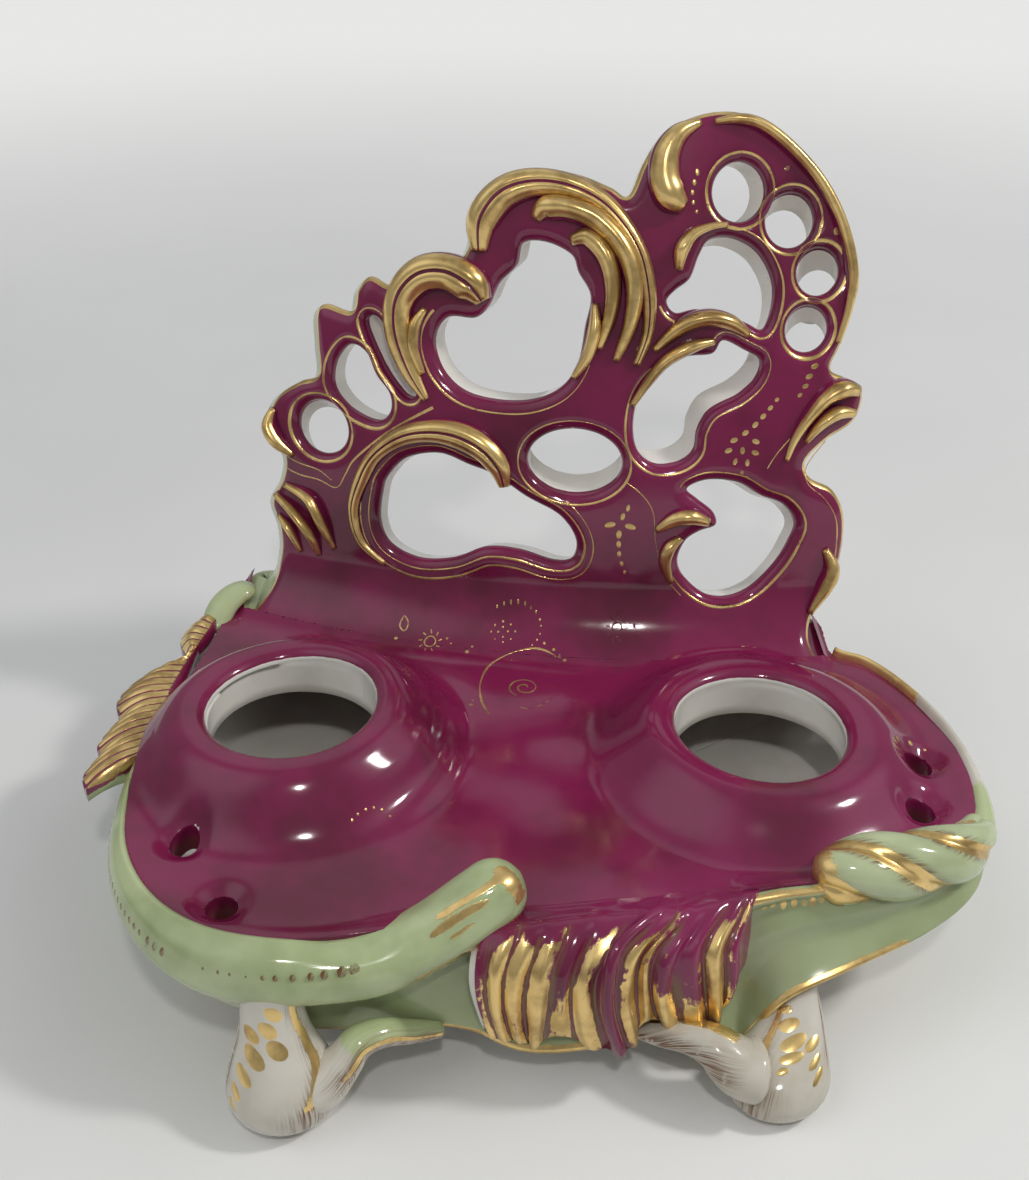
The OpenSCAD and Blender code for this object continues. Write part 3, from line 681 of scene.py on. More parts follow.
def deck_drawing():
    """The worn gilt lines and dots on the deck."""
    marks = [coil(), deck_line(ARC, 0.75), deck_line(TAIL, 0.45, gilt=0.5), deck_line(LEAF, 0.5, True, 0.55)]
    marks += [deck_dot(*dot) for dot in LOOSE_DOTS]
    marks += [deck_dot(x, y, 0.3, 0.6) for x, y in RING_DOTS + SWEEP_DOTS]
    marks += [deck_dot(x, y, 0.36, 0.6) for x, y in BOSS_DOTS]
    for place in SUNS:
        marks += sun(*place)
    x, y = QUILLS[2]
    marks += [deck_dot(*turned(x, y, 6.8, [turn])[0], radius, 1.0) for turn, radius in QUILL_DOTS]
    return marks


piece("deck_gilt_drawing", deck_drawing(), "gilded_scroll")

# ---- bosses with their lips and necks

BORE = 23.0                        # radius of a well
SLOPE_START = 37.0                 # radius where a boss starts
NECK_DOWN = (4.0, 5.5, 8.0, 11.0, 14.0)                          # below the lip
NECK_BACK = ((24.0, -14.6), (26.5, -14.4), (27.5, -13.5))        # radius, height from the lip


def at_deck(x, y):
    """Deck surface with its lift near the edge, for points whose distance to the edge is not known yet."""
    gap = -nearest(np.stack([x, y], 1), EDGE, EDGE_OUT)
    return deck_height(x, y, gap)


def boss(side):
    """Turned surface: the deck's own height in to the lip, a half round over the lip, down the neck to its
    end, and back up its hidden side."""
    (cx, cy), rise = WELLS[side]
    turn = np.linspace(0, 2 * math.pi, 240, endpoint=False)
    cos, sin = np.cos(turn), np.sin(turn)
    tilt = 1.1 * cos * (1 if side == "left" else -1) + 0.35 * np.sin(2 * turn + 0.7)
    lip = deck_height(cx + LIP * cos, cy + LIP * sin) + tilt
    rows, white = [], []

    def add(r, z, pale):
        rows.append(np.stack([cx + r * cos, cy + r * sin, z + 0 * cos], 1))
        white.append(pale)

    for r in np.linspace(SLOPE_START, LIP + 1.6, 22):
        add(r, at_deck(cx + r * cos, cy + r * sin) - 0.02 + tilt * smooth(36.2, 28.0, r), 0.0)
    half = LIP - BORE
    for a in np.linspace(80, -10, 10):
        drop = half * 0.8 * (1 - math.sin(math.radians(a)))
        add(BORE + half - half * math.cos(math.radians(a)), lip - drop, float(smooth(30, 12, a)))
    for down in NECK_DOWN:
        add(BORE + 0.25 * np.sin(3 * turn + 1.0), DECK_TOP + rise - down, 1.0)
    for r, z in NECK_BACK:
        add(r, DECK_TOP + rise + z, 1.0)
    for z in (DECK_TOP, DECK_UNDER):
        add(DECK_BORE - 0.1, z, 1.0)
    return patch(np.stack(rows), around=True, white=np.array(white)[:, None])


for side in WELLS:
    piece(side + "_boss", [boss(side)], "magenta_glaze", [side + "_well_boss"])

# ---------------------------------------------------------------- gallery

# [across, height] along the gallery's edge, from its left end over the crest to its right end
OUTLINE = spline([
    [-86, 46], [-78, 53], [-75, 62], [-75, 70], [-77, 78], [-73, 86], [-72, 93], [-76, 98], [-77, 104],
    [-73, 111], [-66, 116], [-60, 119], [-60, 128], [-60, 136], [-57, 139], [-49, 138], [-47, 144],
    [-43, 148], [-36, 146], [-32, 152], [-25, 155], [-16, 155], [-12, 163], [-8, 171], [0, 177], [8, 179],
    [18, 178], [27, 175], [32, 173], [36, 181], [41, 188], [48, 192], [57, 194], [66, 193], [76, 187],
    [86, 178], [93, 167], [98, 154], [98, 144], [95, 134], [92, 127], [97, 124], [102, 120], [100, 112],
    [92, 107], [86, 101], [88, 96], [95, 92], [99, 84], [99, 72], [96.5, 63], [91, 56], [89.5, 50.5],
    [93, 46]], 10)


def ring(x, z, wide, tall):
    """Twelve points of an upright oval round x, z."""
    turn = np.linspace(0, 2 * math.pi, 12, endpoint=False)
    return np.stack([x + wide * np.cos(turn), z + tall * np.sin(turn)], 1)


# Each opening: its outline as [across, height], and how far its back edge lies from its front one
OPENINGS = {
    "heart": ([[-24, 133], [-20, 139], [-12, 139.5], [-8, 143], [-5, 149], [0, 154], [2, 160], [9, 160.5],
               [16, 157.5], [18, 153], [21.5, 147], [20, 139], [18, 129], [13, 122], [4, 118], [-7, 117.5],
               [-16, 119.5], [-22, 125]], (4.0, -2.0)),
    "lower_left": ([[-41, 87], [-42, 78], [-39, 71], [-30, 67.5], [-19, 69], [-9, 73.5], [1, 73.5], [11, 71],
                    [17, 72], [18, 78], [13, 85], [3, 90], [-6, 95.5], [-14, 98], [-23, 100.5], [-33, 98],
                    [-39, 92]], (3.4, -3.5)),
    "middle_right": ([[34.5, 112], [36, 120], [41, 126.5], [49, 131], [57, 132], [60, 135.5], [66, 133],
                      [71, 130], [70, 125], [65, 120.5], [57, 116.5], [53.5, 111], [52.5, 105], [48, 101.5],
                      [41, 101], [36, 105]], (-2.8, 0.0)),
    "upper_right": ([[43.5, 146], [46, 149], [50, 152], [52.5, 158], [55.5, 162], [62, 162.5], [69, 159],
                     [73.5, 152], [74, 145], [71.5, 138.5], [67, 140], [60, 143], [52, 144], [46, 143]],
                    (-2.5, -6.5)),
    "lower_right": ([[51, 94], [57, 96.5], [66, 95.5], [73, 91.5], [80, 88.5], [84, 83], [82.5, 77.5],
                     [79, 71], [73, 64.5], [66, 61.5], [58, 62], [51.5, 66.5], [49, 72], [51, 78], [55, 81],
                     [60, 83], [59, 87], [54, 91]], (-2.3, -4.0)),
    "left_bean": ([[-50, 128.5], [-54.5, 123], [-55, 116], [-50, 110.5], [-42, 108], [-38, 111], [-38, 116],
                   [-42, 121], [-45, 127]], (4.6, -2.5)),
    "left_slot": ([[-44.5, 136], [-41, 137], [-36, 129.5], [-31, 121], [-30, 116.5], [-33, 116.5],
                   [-38, 122], [-42.5, 130]], (6.5, -1.5)),
    "left_ring": (ring(-59, 103.7, 7.8, 7.8), (3.7, -6.0)),
    "first_ring": (ring(63.5, 174, 7.6, 7.6), (-3.9, -5.0)),
    "second_ring": (ring(78.3, 166.5, 7, 7), (-1.3, -8.5)),
    "third_ring": (ring(87, 153, 6.2, 6.2), (0.6, -10.0)),
    "fourth_ring": (ring(84.3, 138, 6.2, 6.2), (0.4, -8.5)),
    "oval": (ring(17.5, 101, 14, 9.5), (1.1, 1.4)),
}
WALL = 13.0                        # thickness of the gallery
# where the fillet at the foot comes out of the cut edge of the deck, in degrees from its bottom
SEAM = math.degrees(math.acos(1.0 - CUT_RISE / FILLET))
ROUND_WIDE, ROUND_DEEP = 4.2, 3.2  # half axes of the rounding along every edge
BAND = 1.5                         # how far from an edge the sheets end and the edge strips take over
PLAIN_FROM = 66.0                  # height where the foot's fillet ends
OUTLINE_SHIFT = np.array([0.0, -5.0])
FRONT_BANDS = (BAND + 0.5, BAND, 1.0, 0.6, 0.3, 0.1, 0.0)        # distances from the edge
WALL_SHARES = (0.05, 0.12, 0.2, 0.35, 0.5, 0.65, 0.8, 0.92)      # from the front edge to the back edge


def front(x, z):
    """Points on the unrounded front of the gallery, its foot included."""
    y = gallery_y(x, z) - foot_reach(z)
    blend = np.clip(1.0 - (z - DECK_TOP) / FILLET, 0.0, 1.0)
    return np.stack([x, y, z + bosses(x, y) * blend], -1)


def facing(x, z):
    """Unit normal of the front, towards the wells, from small steps across and up."""
    h = 0.2
    zc = np.maximum(z, DECK_TOP + 0.6)
    fx = (gallery_y(x + h, zc) - gallery_y(x - h, zc)) / (2 * h)
    fz = (gallery_y(x, zc + h) - foot_reach(zc + h) - gallery_y(x, zc - h) + foot_reach(zc - h)) / (2 * h)
    return unit(np.stack([fx, -1.0 + 0 * fx, fz], -1))


def fall(d):
    """How far the face drops back at distance d from an edge: an ellipse ROUND_WIDE by ROUND_DEEP."""
    u = np.clip(1.0 - d / ROUND_WIDE, 0.0, 1.0)
    return ROUND_DEEP * (1.0 - np.sqrt(1.0 - u * u))


CONTOURS = {"outline": (evenly(OUTLINE, 0.6), False)}
for name, (points, _) in OPENINGS.items():
    CONTOURS[name] = (evenly(spline(points, 12, True), 0.6, True), True)


def into_material(line, closed):
    """Plane normal of a contour, pointing into the gallery's material."""
    if closed:
        return outward_of(line)
    h = headings(line)
    return np.stack([h[:, 1], -h[:, 0]], 1)


def depth_in(points, shifts=None):
    """Distance of [across, height] points inside the gallery's material, negative in openings and outside.
    shifts moves each contour, for the back face."""
    reach = 9.0
    total = np.full(len(points), 1e9)
    for name, (line, closed) in CONTOURS.items():
        out = into_material(line, closed)
        moved = line + (shifts or {}).get(name, np.zeros(2))
        near = slice(None)
        if closed:
            low, high = moved.min(0) - reach, moved.max(0) + reach
            near = np.where(((points > low) & (points < high)).all(1))[0]
            if not len(near):
                continue
        total[near] = np.minimum(total[near], nearest(points[near], moved, out))
    return total


def gallery_face(cell, back=False):
    """The front or back sheet of the gallery: a grid over [across, height], cut at a band inside every
    contour, and dropped back near the contours by the edge's ellipse."""
    foot = DECK_TOP + FILLET * (1 - np.cos(np.radians(np.linspace(SEAM, 88, 15))))
    heights = np.arange(DECK_TOP, 195.0, cell) if back else np.r_[foot, np.arange(PLAIN_FROM, 195.0, cell)]
    x, z = np.meshgrid(np.arange(-92.0, 104.0, cell), heights)
    shifts = {}
    if back:
        shifts = {name: np.array(shift) for name, (_, shift) in OPENINGS.items()}
        shifts["outline"] = OUTLINE_SHIFT
    inside = depth_in(np.stack([x.ravel(), z.ravel()], 1), shifts).reshape(x.shape)
    x, z, stays = snapped(x, z, inside - BAND, cell)
    drop = fall(np.maximum(inside, BAND))[..., None]
    if back:
        sheet = np.stack([x, gallery_y(x, z) + WALL, z], -1) + facing(x, np.maximum(z, PLAIN_FROM)) * drop
        return patch(sheet, hint=(0, 1, 0), keep=stays, white=1.0)
    return patch(front(x, z) - facing(x, z) * drop, hint=(0, -1, 0.3), keep=stays)


def edge_strip(name):
    """The rounded edge of one contour with its wall: rows run from a band inside the front face, round the
    ellipse, straight to the back edge, and round onto the back face."""
    line, closed = CONTOURS[name]
    inward = into_material(line, closed)
    shift = np.array(OPENINGS[name][1]) if name in OPENINGS else OUTLINE_SHIFT
    opening = name in OPENINGS
    rows, white, gilt, green = [], [], [], []

    def front_row(d):
        p = line + inward * d
        deep = np.full(len(p), max(d, 0.0))
        return front(p[:, 0], p[:, 1]) - facing(p[:, 0], p[:, 1]) * fall(deep)[:, None]

    def back_row(d):
        p = line + shift + inward * d
        n = facing(p[:, 0], np.maximum(p[:, 1], PLAIN_FROM))
        base = np.stack([p[:, 0], gallery_y(p[:, 0], p[:, 1]) + WALL, p[:, 1]], 1)
        return base + n * fall(np.full(len(p), d))[:, None]

    def add(row, pale=0.0, gold=0.0, leafy=0.0):
        rows.append(row)
        white.append(pale)
        gilt.append(gold)
        green.append(leafy)

    for d in FRONT_BANDS:
        under = 0.02 if d > BAND else 0.0
        add(front_row(d) + np.array([0.0, under, 0.0]), gold=0.9 if d < 1.1 and not opening else 0.0)
    a, b = rows[-1], back_row(0.0)
    for share in WALL_SHARES:
        pale = float(smooth(0.04, 0.16, share))
        row = a * (1 - share) + b * share
        if opening:
            add(row, pale=pale)
        else:
            add(row, leafy=pale, gold=0.7 if share <= 0.1 else 0.0)
    for d in FRONT_BANDS[::-1]:
        add(back_row(d), pale=1.0)
    away = np.stack([-inward[:, 0], 0 * inward[:, 0], -inward[:, 1]], 1)
    return patch(np.stack(rows), around=closed, hint=away, white=np.array(white)[:, None],
                 gilt=np.array(gilt)[:, None], green=np.array(green)[:, None])


piece("gallery_front", [gallery_face(0.8)], "magenta_glaze", ["gallery"])
piece("gallery_edges", [edge_strip(name) for name in CONTOURS], "magenta_glaze")
piece("gallery_back", [gallery_face(1.2, back=True)], "white_glaze")

# ---- lines of gilding round the openings


def on_face(p, lift=0.0):
    """Points on the finished front face, edge rounding included, raised by lift."""
    d = np.maximum(depth_in(p), 0.0)
    return front(p[:, 0], p[:, 1]) - facing(p[:, 0], p[:, 1]) * (fall(d) - lift)[:, None]


def gilt_line(path, wide, closed, lift=0.07, gilt=0.62):
    """A flat ribbon of gilding that follows a plane path on the gallery's face: five rows across it, the
    middle one raised, its width swelling and thinning along the run."""
    h = headings(path, closed)
    side = np.stack([h[:, 1], -h[:, 0]], 1)
    run = np.arange(len(path))
    swell = 0.8 + 0.35 * np.sin(run * 0.043 + wide * 7.0) + 0.12 * np.sin(run * 0.21)
    rows = [on_face(path + side * (v * wide / 2 * swell)[:, None], lift * up)
            for v, up in ((-1, -0.3), (-0.6, 0.8), (0, 1.0), (0.6, 0.8), (1, -0.3))]
    return patch(np.stack(rows), around=closed, hint=(0, -1, 0.3), gilt=gilt)


def ring_of(name, offset, start=0.0, stop=1.0):
    """The contour of an opening, or the stretch of it from start to stop, moved into the material."""
    line, closed = CONTOURS[name]
    out = line + into_material(line, closed) * offset
    if stop - start < 1.0:
        out = np.roll(out, -int(start * len(out)), 0)[:int((stop - start) * len(out))]
        closed = False
    return evenly(out, 0.9, closed), closed


LINES = (                          # opening, distance from its edge, width, and the stretch of the edge
    ("heart", 3.4, 0.6, 0.52, 1.05), ("lower_left", 2.6, 0.6, 0.0, 1.0), ("lower_left", 5.2, 0.7, 0.9, 1.6),
    ("middle_right", 2.4, 0.6, 0.3, 1.25), ("upper_right", 2.4, 0.7, 0.25, 1.0),
    ("lower_right", 2.6, 0.7, 0, 0.72), ("left_bean", 2.2, 0.8, 0, 1), ("left_slot", 2.0, 0.7, 0, 1),
    ("left_ring", 2.2, 0.8, 0, 1), ("first_ring", 2.0, 0.8, 0, 1), ("second_ring", 1.9, 0.8, 0, 1),
    ("third_ring", 1.8, 0.9, 0, 1), ("fourth_ring", 1.8, 0.9, 0, 1), ("oval", 2.6, 0.6, 0, 1))
STROKES = (                        # [across, height] runs of thin gilt lines on the face, and their width
    ([[-72, 90], [-66, 88.5], [-60, 88], [-54.5, 86.5], [-51.5, 91], [-48, 96.5], [-37, 106],
      [-24, 114]], 0.7),
    ([[-71, 93.5], [-66, 92], [-60, 91], [-56, 88.5]], 0.5),
    ([[74, 100], [76.5, 104], [80, 108], [84, 113]], 0.6),
    ([[92, 106.5], [87, 100], [86.5, 95], [92, 90], [96, 83], [96.5, 72], [95.5, 63]], 0.6),
    ([[35, 133], [38, 141], [37.5, 152], [34, 163]], 0.5),
    ([[33, 96], [38, 92], [41, 87], [42, 78], [45, 68], [50, 62]], 0.5))
FACE_DOTS = (                      # across, height, half length, half width, turn, how gilt
    (33.5, 88.6, 1.2, 0.6, 80, 0.8), (32, 86, 1.3, 0.7, 75, 0.8), (28.3, 83.4, 1.9, 1.0, 15, 0.85),
    (34.3, 83, 1.9, 1.0, -15, 0.85), (31, 80.6, 1.5, 0.9, 85, 0.8), (31, 77.6, 1.3, 0.8, 90, 0.75),
    (31.2, 74.6, 1.1, 0.7, 90, 0.7), (32, 71.6, 0.9, 0.6, 95, 0.65), (33, 69, 0.7, 0.5, 95, 0.6),
    (86.5, 128, 1.3, 0.8, 20, 0.8), (85, 125.3, 1.3, 0.8, 20, 0.8), (84, 122.7, 1.1, 0.7, 20, 0.7),
    (82.5, 120.3, 0.9, 0.6, 30, 0.7), (75.8, 119.3, 0.8, 0.6, 30, 0.7), (74, 117.1, 1.0, 0.7, 40, 0.7),
    (72, 114.8, 1.1, 0.8, 40, 0.75), (69.8, 112.5, 1.2, 0.8, 45, 0.75), (67, 110.3, 1.2, 0.8, 30, 0.7),
    (63.8, 108.3, 1.3, 0.8, 20, 0.7), (70.2, 107.8, 1.3, 0.8, -20, 0.7), (62.3, 105.4, 1.3, 0.8, 20, 0.65),
    (66.4, 105.3, 1.2, 0.8, 90, 0.65), (70.2, 104.6, 1.3, 0.8, -20, 0.65), (64.4, 102.2, 1.2, 0.7, 70, 0.6),
    (68, 101.8, 1.2, 0.7, 90, 0.6), (66.6, 98.8, 0.9, 0.6, 90, 0.55), (51.2, 178.6, 1.0, 0.6, 100, 0.75),
    (50.4, 176.1, 0.9, 0.6, 95, 0.75), (49.9, 173.6, 0.8, 0.55, 90, 0.7), (50.2, 171.1, 0.7, 0.5, 85, 0.7),
    (51.2, 168.8, 0.6, 0.45, 80, 0.6), (91.4, 163.1, 1.1, 1.1, 0, 0.8), (76.5, 179.3, 1.0, 0.7, 20, 0.5))


def face_dot(x, z, long, wide, turn=90.0, gilt=0.75):
    """A low oval dot on the gallery's face, turned in degrees from across."""
    rho = np.array([0.02, 0.5, 0.85, 1.0])[:, None]
    phi = np.linspace(0, 2 * math.pi, 16, endpoint=False)[None, :]
    t = math.radians(turn)
    e, f = long * rho * np.cos(phi), wide * rho * np.sin(phi)
    p = np.stack([x + e * math.cos(t) - f * math.sin(t), z + e * math.sin(t) + f * math.cos(t)], -1)
    q = p.reshape(-1, 2)
    flat = on_face(q) + facing(q[:, 0], q[:, 1]) * (0.12 * (1 - rho ** 2) - 0.03 + 0 * phi).reshape(-1, 1)
    return patch(flat.reshape(4, 16, 3), around=True, start_cap=True, hint=(0, -1, 0.3), gilt=gilt)


def gallery_marks():
    """The gilt lines and dots on the gallery's face."""
    marks = []
    for name, offset, wide, start, stop in LINES:
        path, closed = ring_of(name, offset, start, stop)
        marks.append(gilt_line(path, wide, closed))
    marks += [gilt_line(evenly(spline(run, 12), 0.9), wide, False) for run, wide in STROKES]
    return marks + [face_dot(*dot) for dot in FACE_DOTS]


piece("gallery_gilt_lines", gallery_marks(), "gilded_scroll")

# ---- scrolls on the gallery

SINK = 1.6                         # how far a scroll's bed lies in the face
GROOVE = 0.22                      # how deep the grooves cut, as a share of the height
WIDER = 1.25                       # every half width below is taken this much wider


def scroll(points, bands):
    """A moulded scroll along [across, height, half width, height] points: a half oval across it, parted into
    rounded gilt bands by narrow dark grooves, closed below by a shallow bed sunk into the face."""
    path = evenly(spline(points, 14), 0.9)
    flat = path[:, :2]
    n = facing(flat[:, 0], flat[:, 1])
    base = front(flat[:, 0], flat[:, 1])
    run = unit(np.gradient(base, axis=0))
    across = unit(np.cross(run, n))
    wide, tall = path[:, 2] * WIDER, path[:, 3]
    length = np.arange(len(path)) * 0.9
    rows, gilt, side = [], [], []
    for v in np.linspace(-1, 1, 37):
        dome = math.sqrt(max(1 - v * v, 0.0)) ** 0.8
        band = abs(math.sin(math.pi * bands * (v + 1) / 2)) ** 0.5
        high = tall * dome * (1.0 - GROOVE * (1.0 - band))
        rows.append(base + across * (wide * v)[:, None] + n * (high - SINK * (1 - dome) * 0.6)[:, None])
        gilt.append(0.15 + 0.85 * smooth(0.35, 0.75, band) * (1.0 - abs(v) ** 8) + 0 * wide)
        side.append(wide * v)
    for v in np.linspace(0.9, -0.9, 6):
        rows.append(base + across * (wide * v)[:, None] - n * (SINK * (1.2 - 0.5 * v * v)))
        gilt.append(0.0 * wide)
        side.append(wide * v)
    grid = np.stack(rows, 1)
    return patch(grid, around=True, hint="ring", start_cap=True, end_cap=True, gilt=np.stack(gilt, 1),
                 run=length[:, None], side=np.stack(side, 1))


# Each scroll: its [across, height, half width, height off the face] points, and its gilt bands
SCROLLS = {
    "crest_left_scroll": [
        ([[-26, 116, 1, 1], [-31, 124, 2.5, 2], [-34, 134, 3.5, 4], [-33, 143, 4, 5], [-27, 149.5, 4.5, 6],
          [-19, 151, 4.5, 6], [-12, 148, 4.5, 6], [-9, 144, 2, 3]], 2),
        ([[-26, 141, 1, 1], [-29, 136, 1.8, 2.5], [-29.5, 130, 1.8, 2.5], [-27, 123, 1, 1]], 1)],
    "crest_main_scroll": [
        ([[-10, 157, 2, 2], [-9, 165, 4, 5], [-3, 172, 4, 6], [6, 175, 3.5, 5], [17, 174, 3, 5],
          [27, 169, 2.5, 4], [35, 159, 2, 4], [38, 148, 2, 3], [38, 138, 1.5, 3], [35, 129, 1, 1]], 2),
        ([[6, 166, 1.5, 2], [9, 169, 3, 5], [16, 169, 3, 6], [24, 166, 3, 6], [31, 159, 2.8, 6],
          [34, 150, 2.5, 5], [33, 140, 2, 4], [29, 130, 1, 1]], 1),
        ([[16, 161, 1.5, 2], [21, 162, 2.5, 4], [26, 157, 2.5, 5], [28, 149, 2.2, 4], [27, 141, 1.8, 3],
          [24, 133, 1, 1]], 1),
        ([[23, 145, 1, 1], [23, 138, 1.8, 3], [21, 131, 1.6, 2], [17, 125, 0.8, 1]], 1)],
    "crest_hook": [([[52, 191, 1, 1], [46, 188, 2.5, 4], [42.5, 183, 3.5, 5], [42, 177, 4, 5],
                     [44, 172.5, 4, 5], [47.5, 170, 2, 3]], 1)],
    "crest_edge_bead": [([[56, 191, 0.8, 1], [63, 191.5, 1.4, 2.5], [70, 189.5, 1.5, 3], [79, 183, 1.5, 3],
                          [87, 174.5, 1.5, 3], [93, 164, 1.5, 3], [96.3, 152, 1.5, 3], [95.5, 143, 1.2, 2],
                          [93, 134, 0.8, 1]], 1)],
    "middle_left_scroll": [([[-3, 93, 1.5, 1], [-4.5, 99, 3, 4], [-9, 104, 3.5, 5], [-16, 107, 3.5, 5],
                             [-24, 107.5, 3, 5], [-33, 105, 2.5, 4], [-41, 99, 2, 4], [-46, 91, 2, 3],
                             [-49, 81, 1.5, 3], [-47, 71, 1.2, 2], [-40, 65, 0.8, 1]], 2)],
    "middle_right_scroll": [
        ([[67, 137, 1, 1], [61, 140.5, 2, 4], [54, 141.5, 2.2, 5], [47, 139, 2, 4], [40, 133, 1, 1]], 1),
        ([[57, 135.5, 1, 1.5], [50, 134, 1.8, 4], [43, 130, 1.6, 4], [38, 124, 1.2, 2],
          [34, 118, 0.8, 1]], 1)],
    "upper_right_curl": [([[46.5, 154, 1, 1], [47, 159, 2, 4], [50, 163, 1.6, 3], [55, 165, 1, 2],
                           [60, 165.5, 0.7, 1]], 1)],
    "lower_right_curl": [
        ([[57.5, 84.5, 1.2, 1.5], [52, 86.5, 2.2, 4], [47, 85.5, 2, 3], [42, 82, 1, 1]], 1),
        ([[49.5, 80, 1, 1], [46, 77, 1.8, 3], [45, 72, 1.6, 2.5], [47, 66, 0.8, 1]], 1)],
    "left_edge_flutes": [
        ([[-71, 84.5, 1, 1.5], [-63, 82, 1.6, 4], [-59, 75, 1.6, 4], [-56, 67, 0.8, 1]], 1),
        ([[-74.5, 81, 1, 1.5], [-68, 77, 1.6, 4], [-63, 71, 1.6, 4], [-61, 64, 0.8, 1]], 1),
        ([[-74, 74.5, 0.8, 1], [-70, 71, 1.4, 3], [-67, 64, 0.7, 1]], 1)],
    "left_ring_curl": [([[-74, 107, 1, 1], [-75, 102, 2, 4], [-72.5, 97.5, 2, 4], [-68, 94, 0.8, 1]], 1)],
    "right_edge_scroll": [
        ([[100, 120.5, 1.5, 2], [95, 121.5, 2.5, 5], [90, 119.5, 2.2, 5], [85, 114, 1.6, 4],
          [81.5, 108, 1.2, 2], [79.5, 102, 0.7, 1]], 1),
        ([[99, 114.5, 1.2, 2], [93.5, 115, 2, 4], [88.5, 112, 1.6, 4], [85, 107, 0.8, 1]], 1)],
    "right_edge_leaf": [([[93, 75, 1, 1], [95.5, 69, 2, 4], [93.5, 62.5, 2, 4], [89.5, 56, 0.8, 1]], 1)],
}
for node, runs in SCROLLS.items():
    reliefs = [scroll(points, bands) for points, bands in runs]
    piece(node + "_relief", reliefs, "gilded_scroll", [node])

# ---------------------------------------------------------------- mouldings on the deck's edge

ROWS_A_STEP = 25.0                 # rows of a moulding from one point of DECK to the next


def table(share, pairs):
    """Smooth reading between [share, value] pairs."""
    p = spline(pairs, 12)
    return np.interp(share, p[:, 0], p[:, 1])


def section(points):
    """A smooth [out, up] section through points, as two functions of v from 0 to 1."""
    curve = spline(points, 10)
    run = np.r_[0, np.cumsum(np.linalg.norm(np.diff(curve, axis=0), axis=1))]
    run /= run[-1]
    return lambda v: np.interp(v, run, curve[:, 0]), lambda v: np.interp(v, run, curve[:, 1])


def laid_out(traits, share, v):
    """Traits over a grid: a function of share and v is worked out, and any other value stays."""
    return {k: t(share, v) + 0 * v * share if callable(t) else t for k, t in traits.items()}


def moulding(start, stop, out, up, across=44, **traits):
    """A moulding along the deck edge. out(share, v) and up(share, v) give the section, in millimetres out
    of the edge and up from the deck, for v from 0 at its inner top to 1 at its inner bottom."""
    count = int((stop - start) * ROWS_A_STEP) + 1
    share = np.linspace(0, 1, count)[:, None]
    v = np.linspace(0, 1, across)[None, :]
    p, o = edge_at(start + (stop - start) * share[:, 0])
    far, high = out(share, v) + 0 * v * share, up(share, v) + 0 * v * share
    grid = np.stack([p[:, :1] + o[:, :1] * far, p[:, 1:] + o[:, 1:] * far, DECK_TOP + high], -1)
    values = laid_out(traits, share, v)
    return patch(grid, around=True, hint="ring", start_cap=True, end_cap=True, **values), grid


def tube(points, around=56, shape=None, start_round=1.0, end_round=1.0, flat=1.0, turns=None, **traits):
    """A rope along [x, y, z, radius] points. Its ends are rounded over a length of start_round and
    end_round radii. shape(share, turn) scales the radius, and flat squeezes it in height. Its points stand
    at turns round it, in radians, or at around even turns."""
    path = evenly(spline(points, 16), 0.7, lead=3)
    run = np.r_[0, np.cumsum(np.linalg.norm(np.diff(path[:, :3], axis=0), axis=1))]
    share = (run / run[-1])[:, None]
    ahead = unit(np.gradient(path[:, :3], axis=0))
    side = unit(np.cross(ahead, np.array([0.0, 0.0, 1.0])))
    over = np.cross(side, ahead)
    r = path[:, 3].copy()
    for distance, length in ((run, start_round * path[0, 3]), (run[-1] - run, end_round * path[-1, 3])):
        u = np.clip(1.0 - distance / max(length, 0.01), 0.0, 0.98)
        r = r * np.sqrt(1.0 - u * u)
    if turns is None:
        turns = np.linspace(0, 2 * math.pi, around, endpoint=False)
    turn = turns[None, :]
    size = r[:, None] * (shape(share, turn) if shape else 1.0 + 0 * turn)
    aside = side[:, None, :] * (size * np.cos(turn))[..., None]
    above = over[:, None, :] * (size * flat * np.sin(turn))[..., None]
    grid = path[:, None, :3] + aside + above
    values = laid_out(traits, share, turn)
    values.setdefault("run", run[:, None] + 0 * turn)
    values.setdefault("side", size * turn)
    return patch(grid, around=True, hint="ring", start_cap=True, end_cap=True, **values), grid


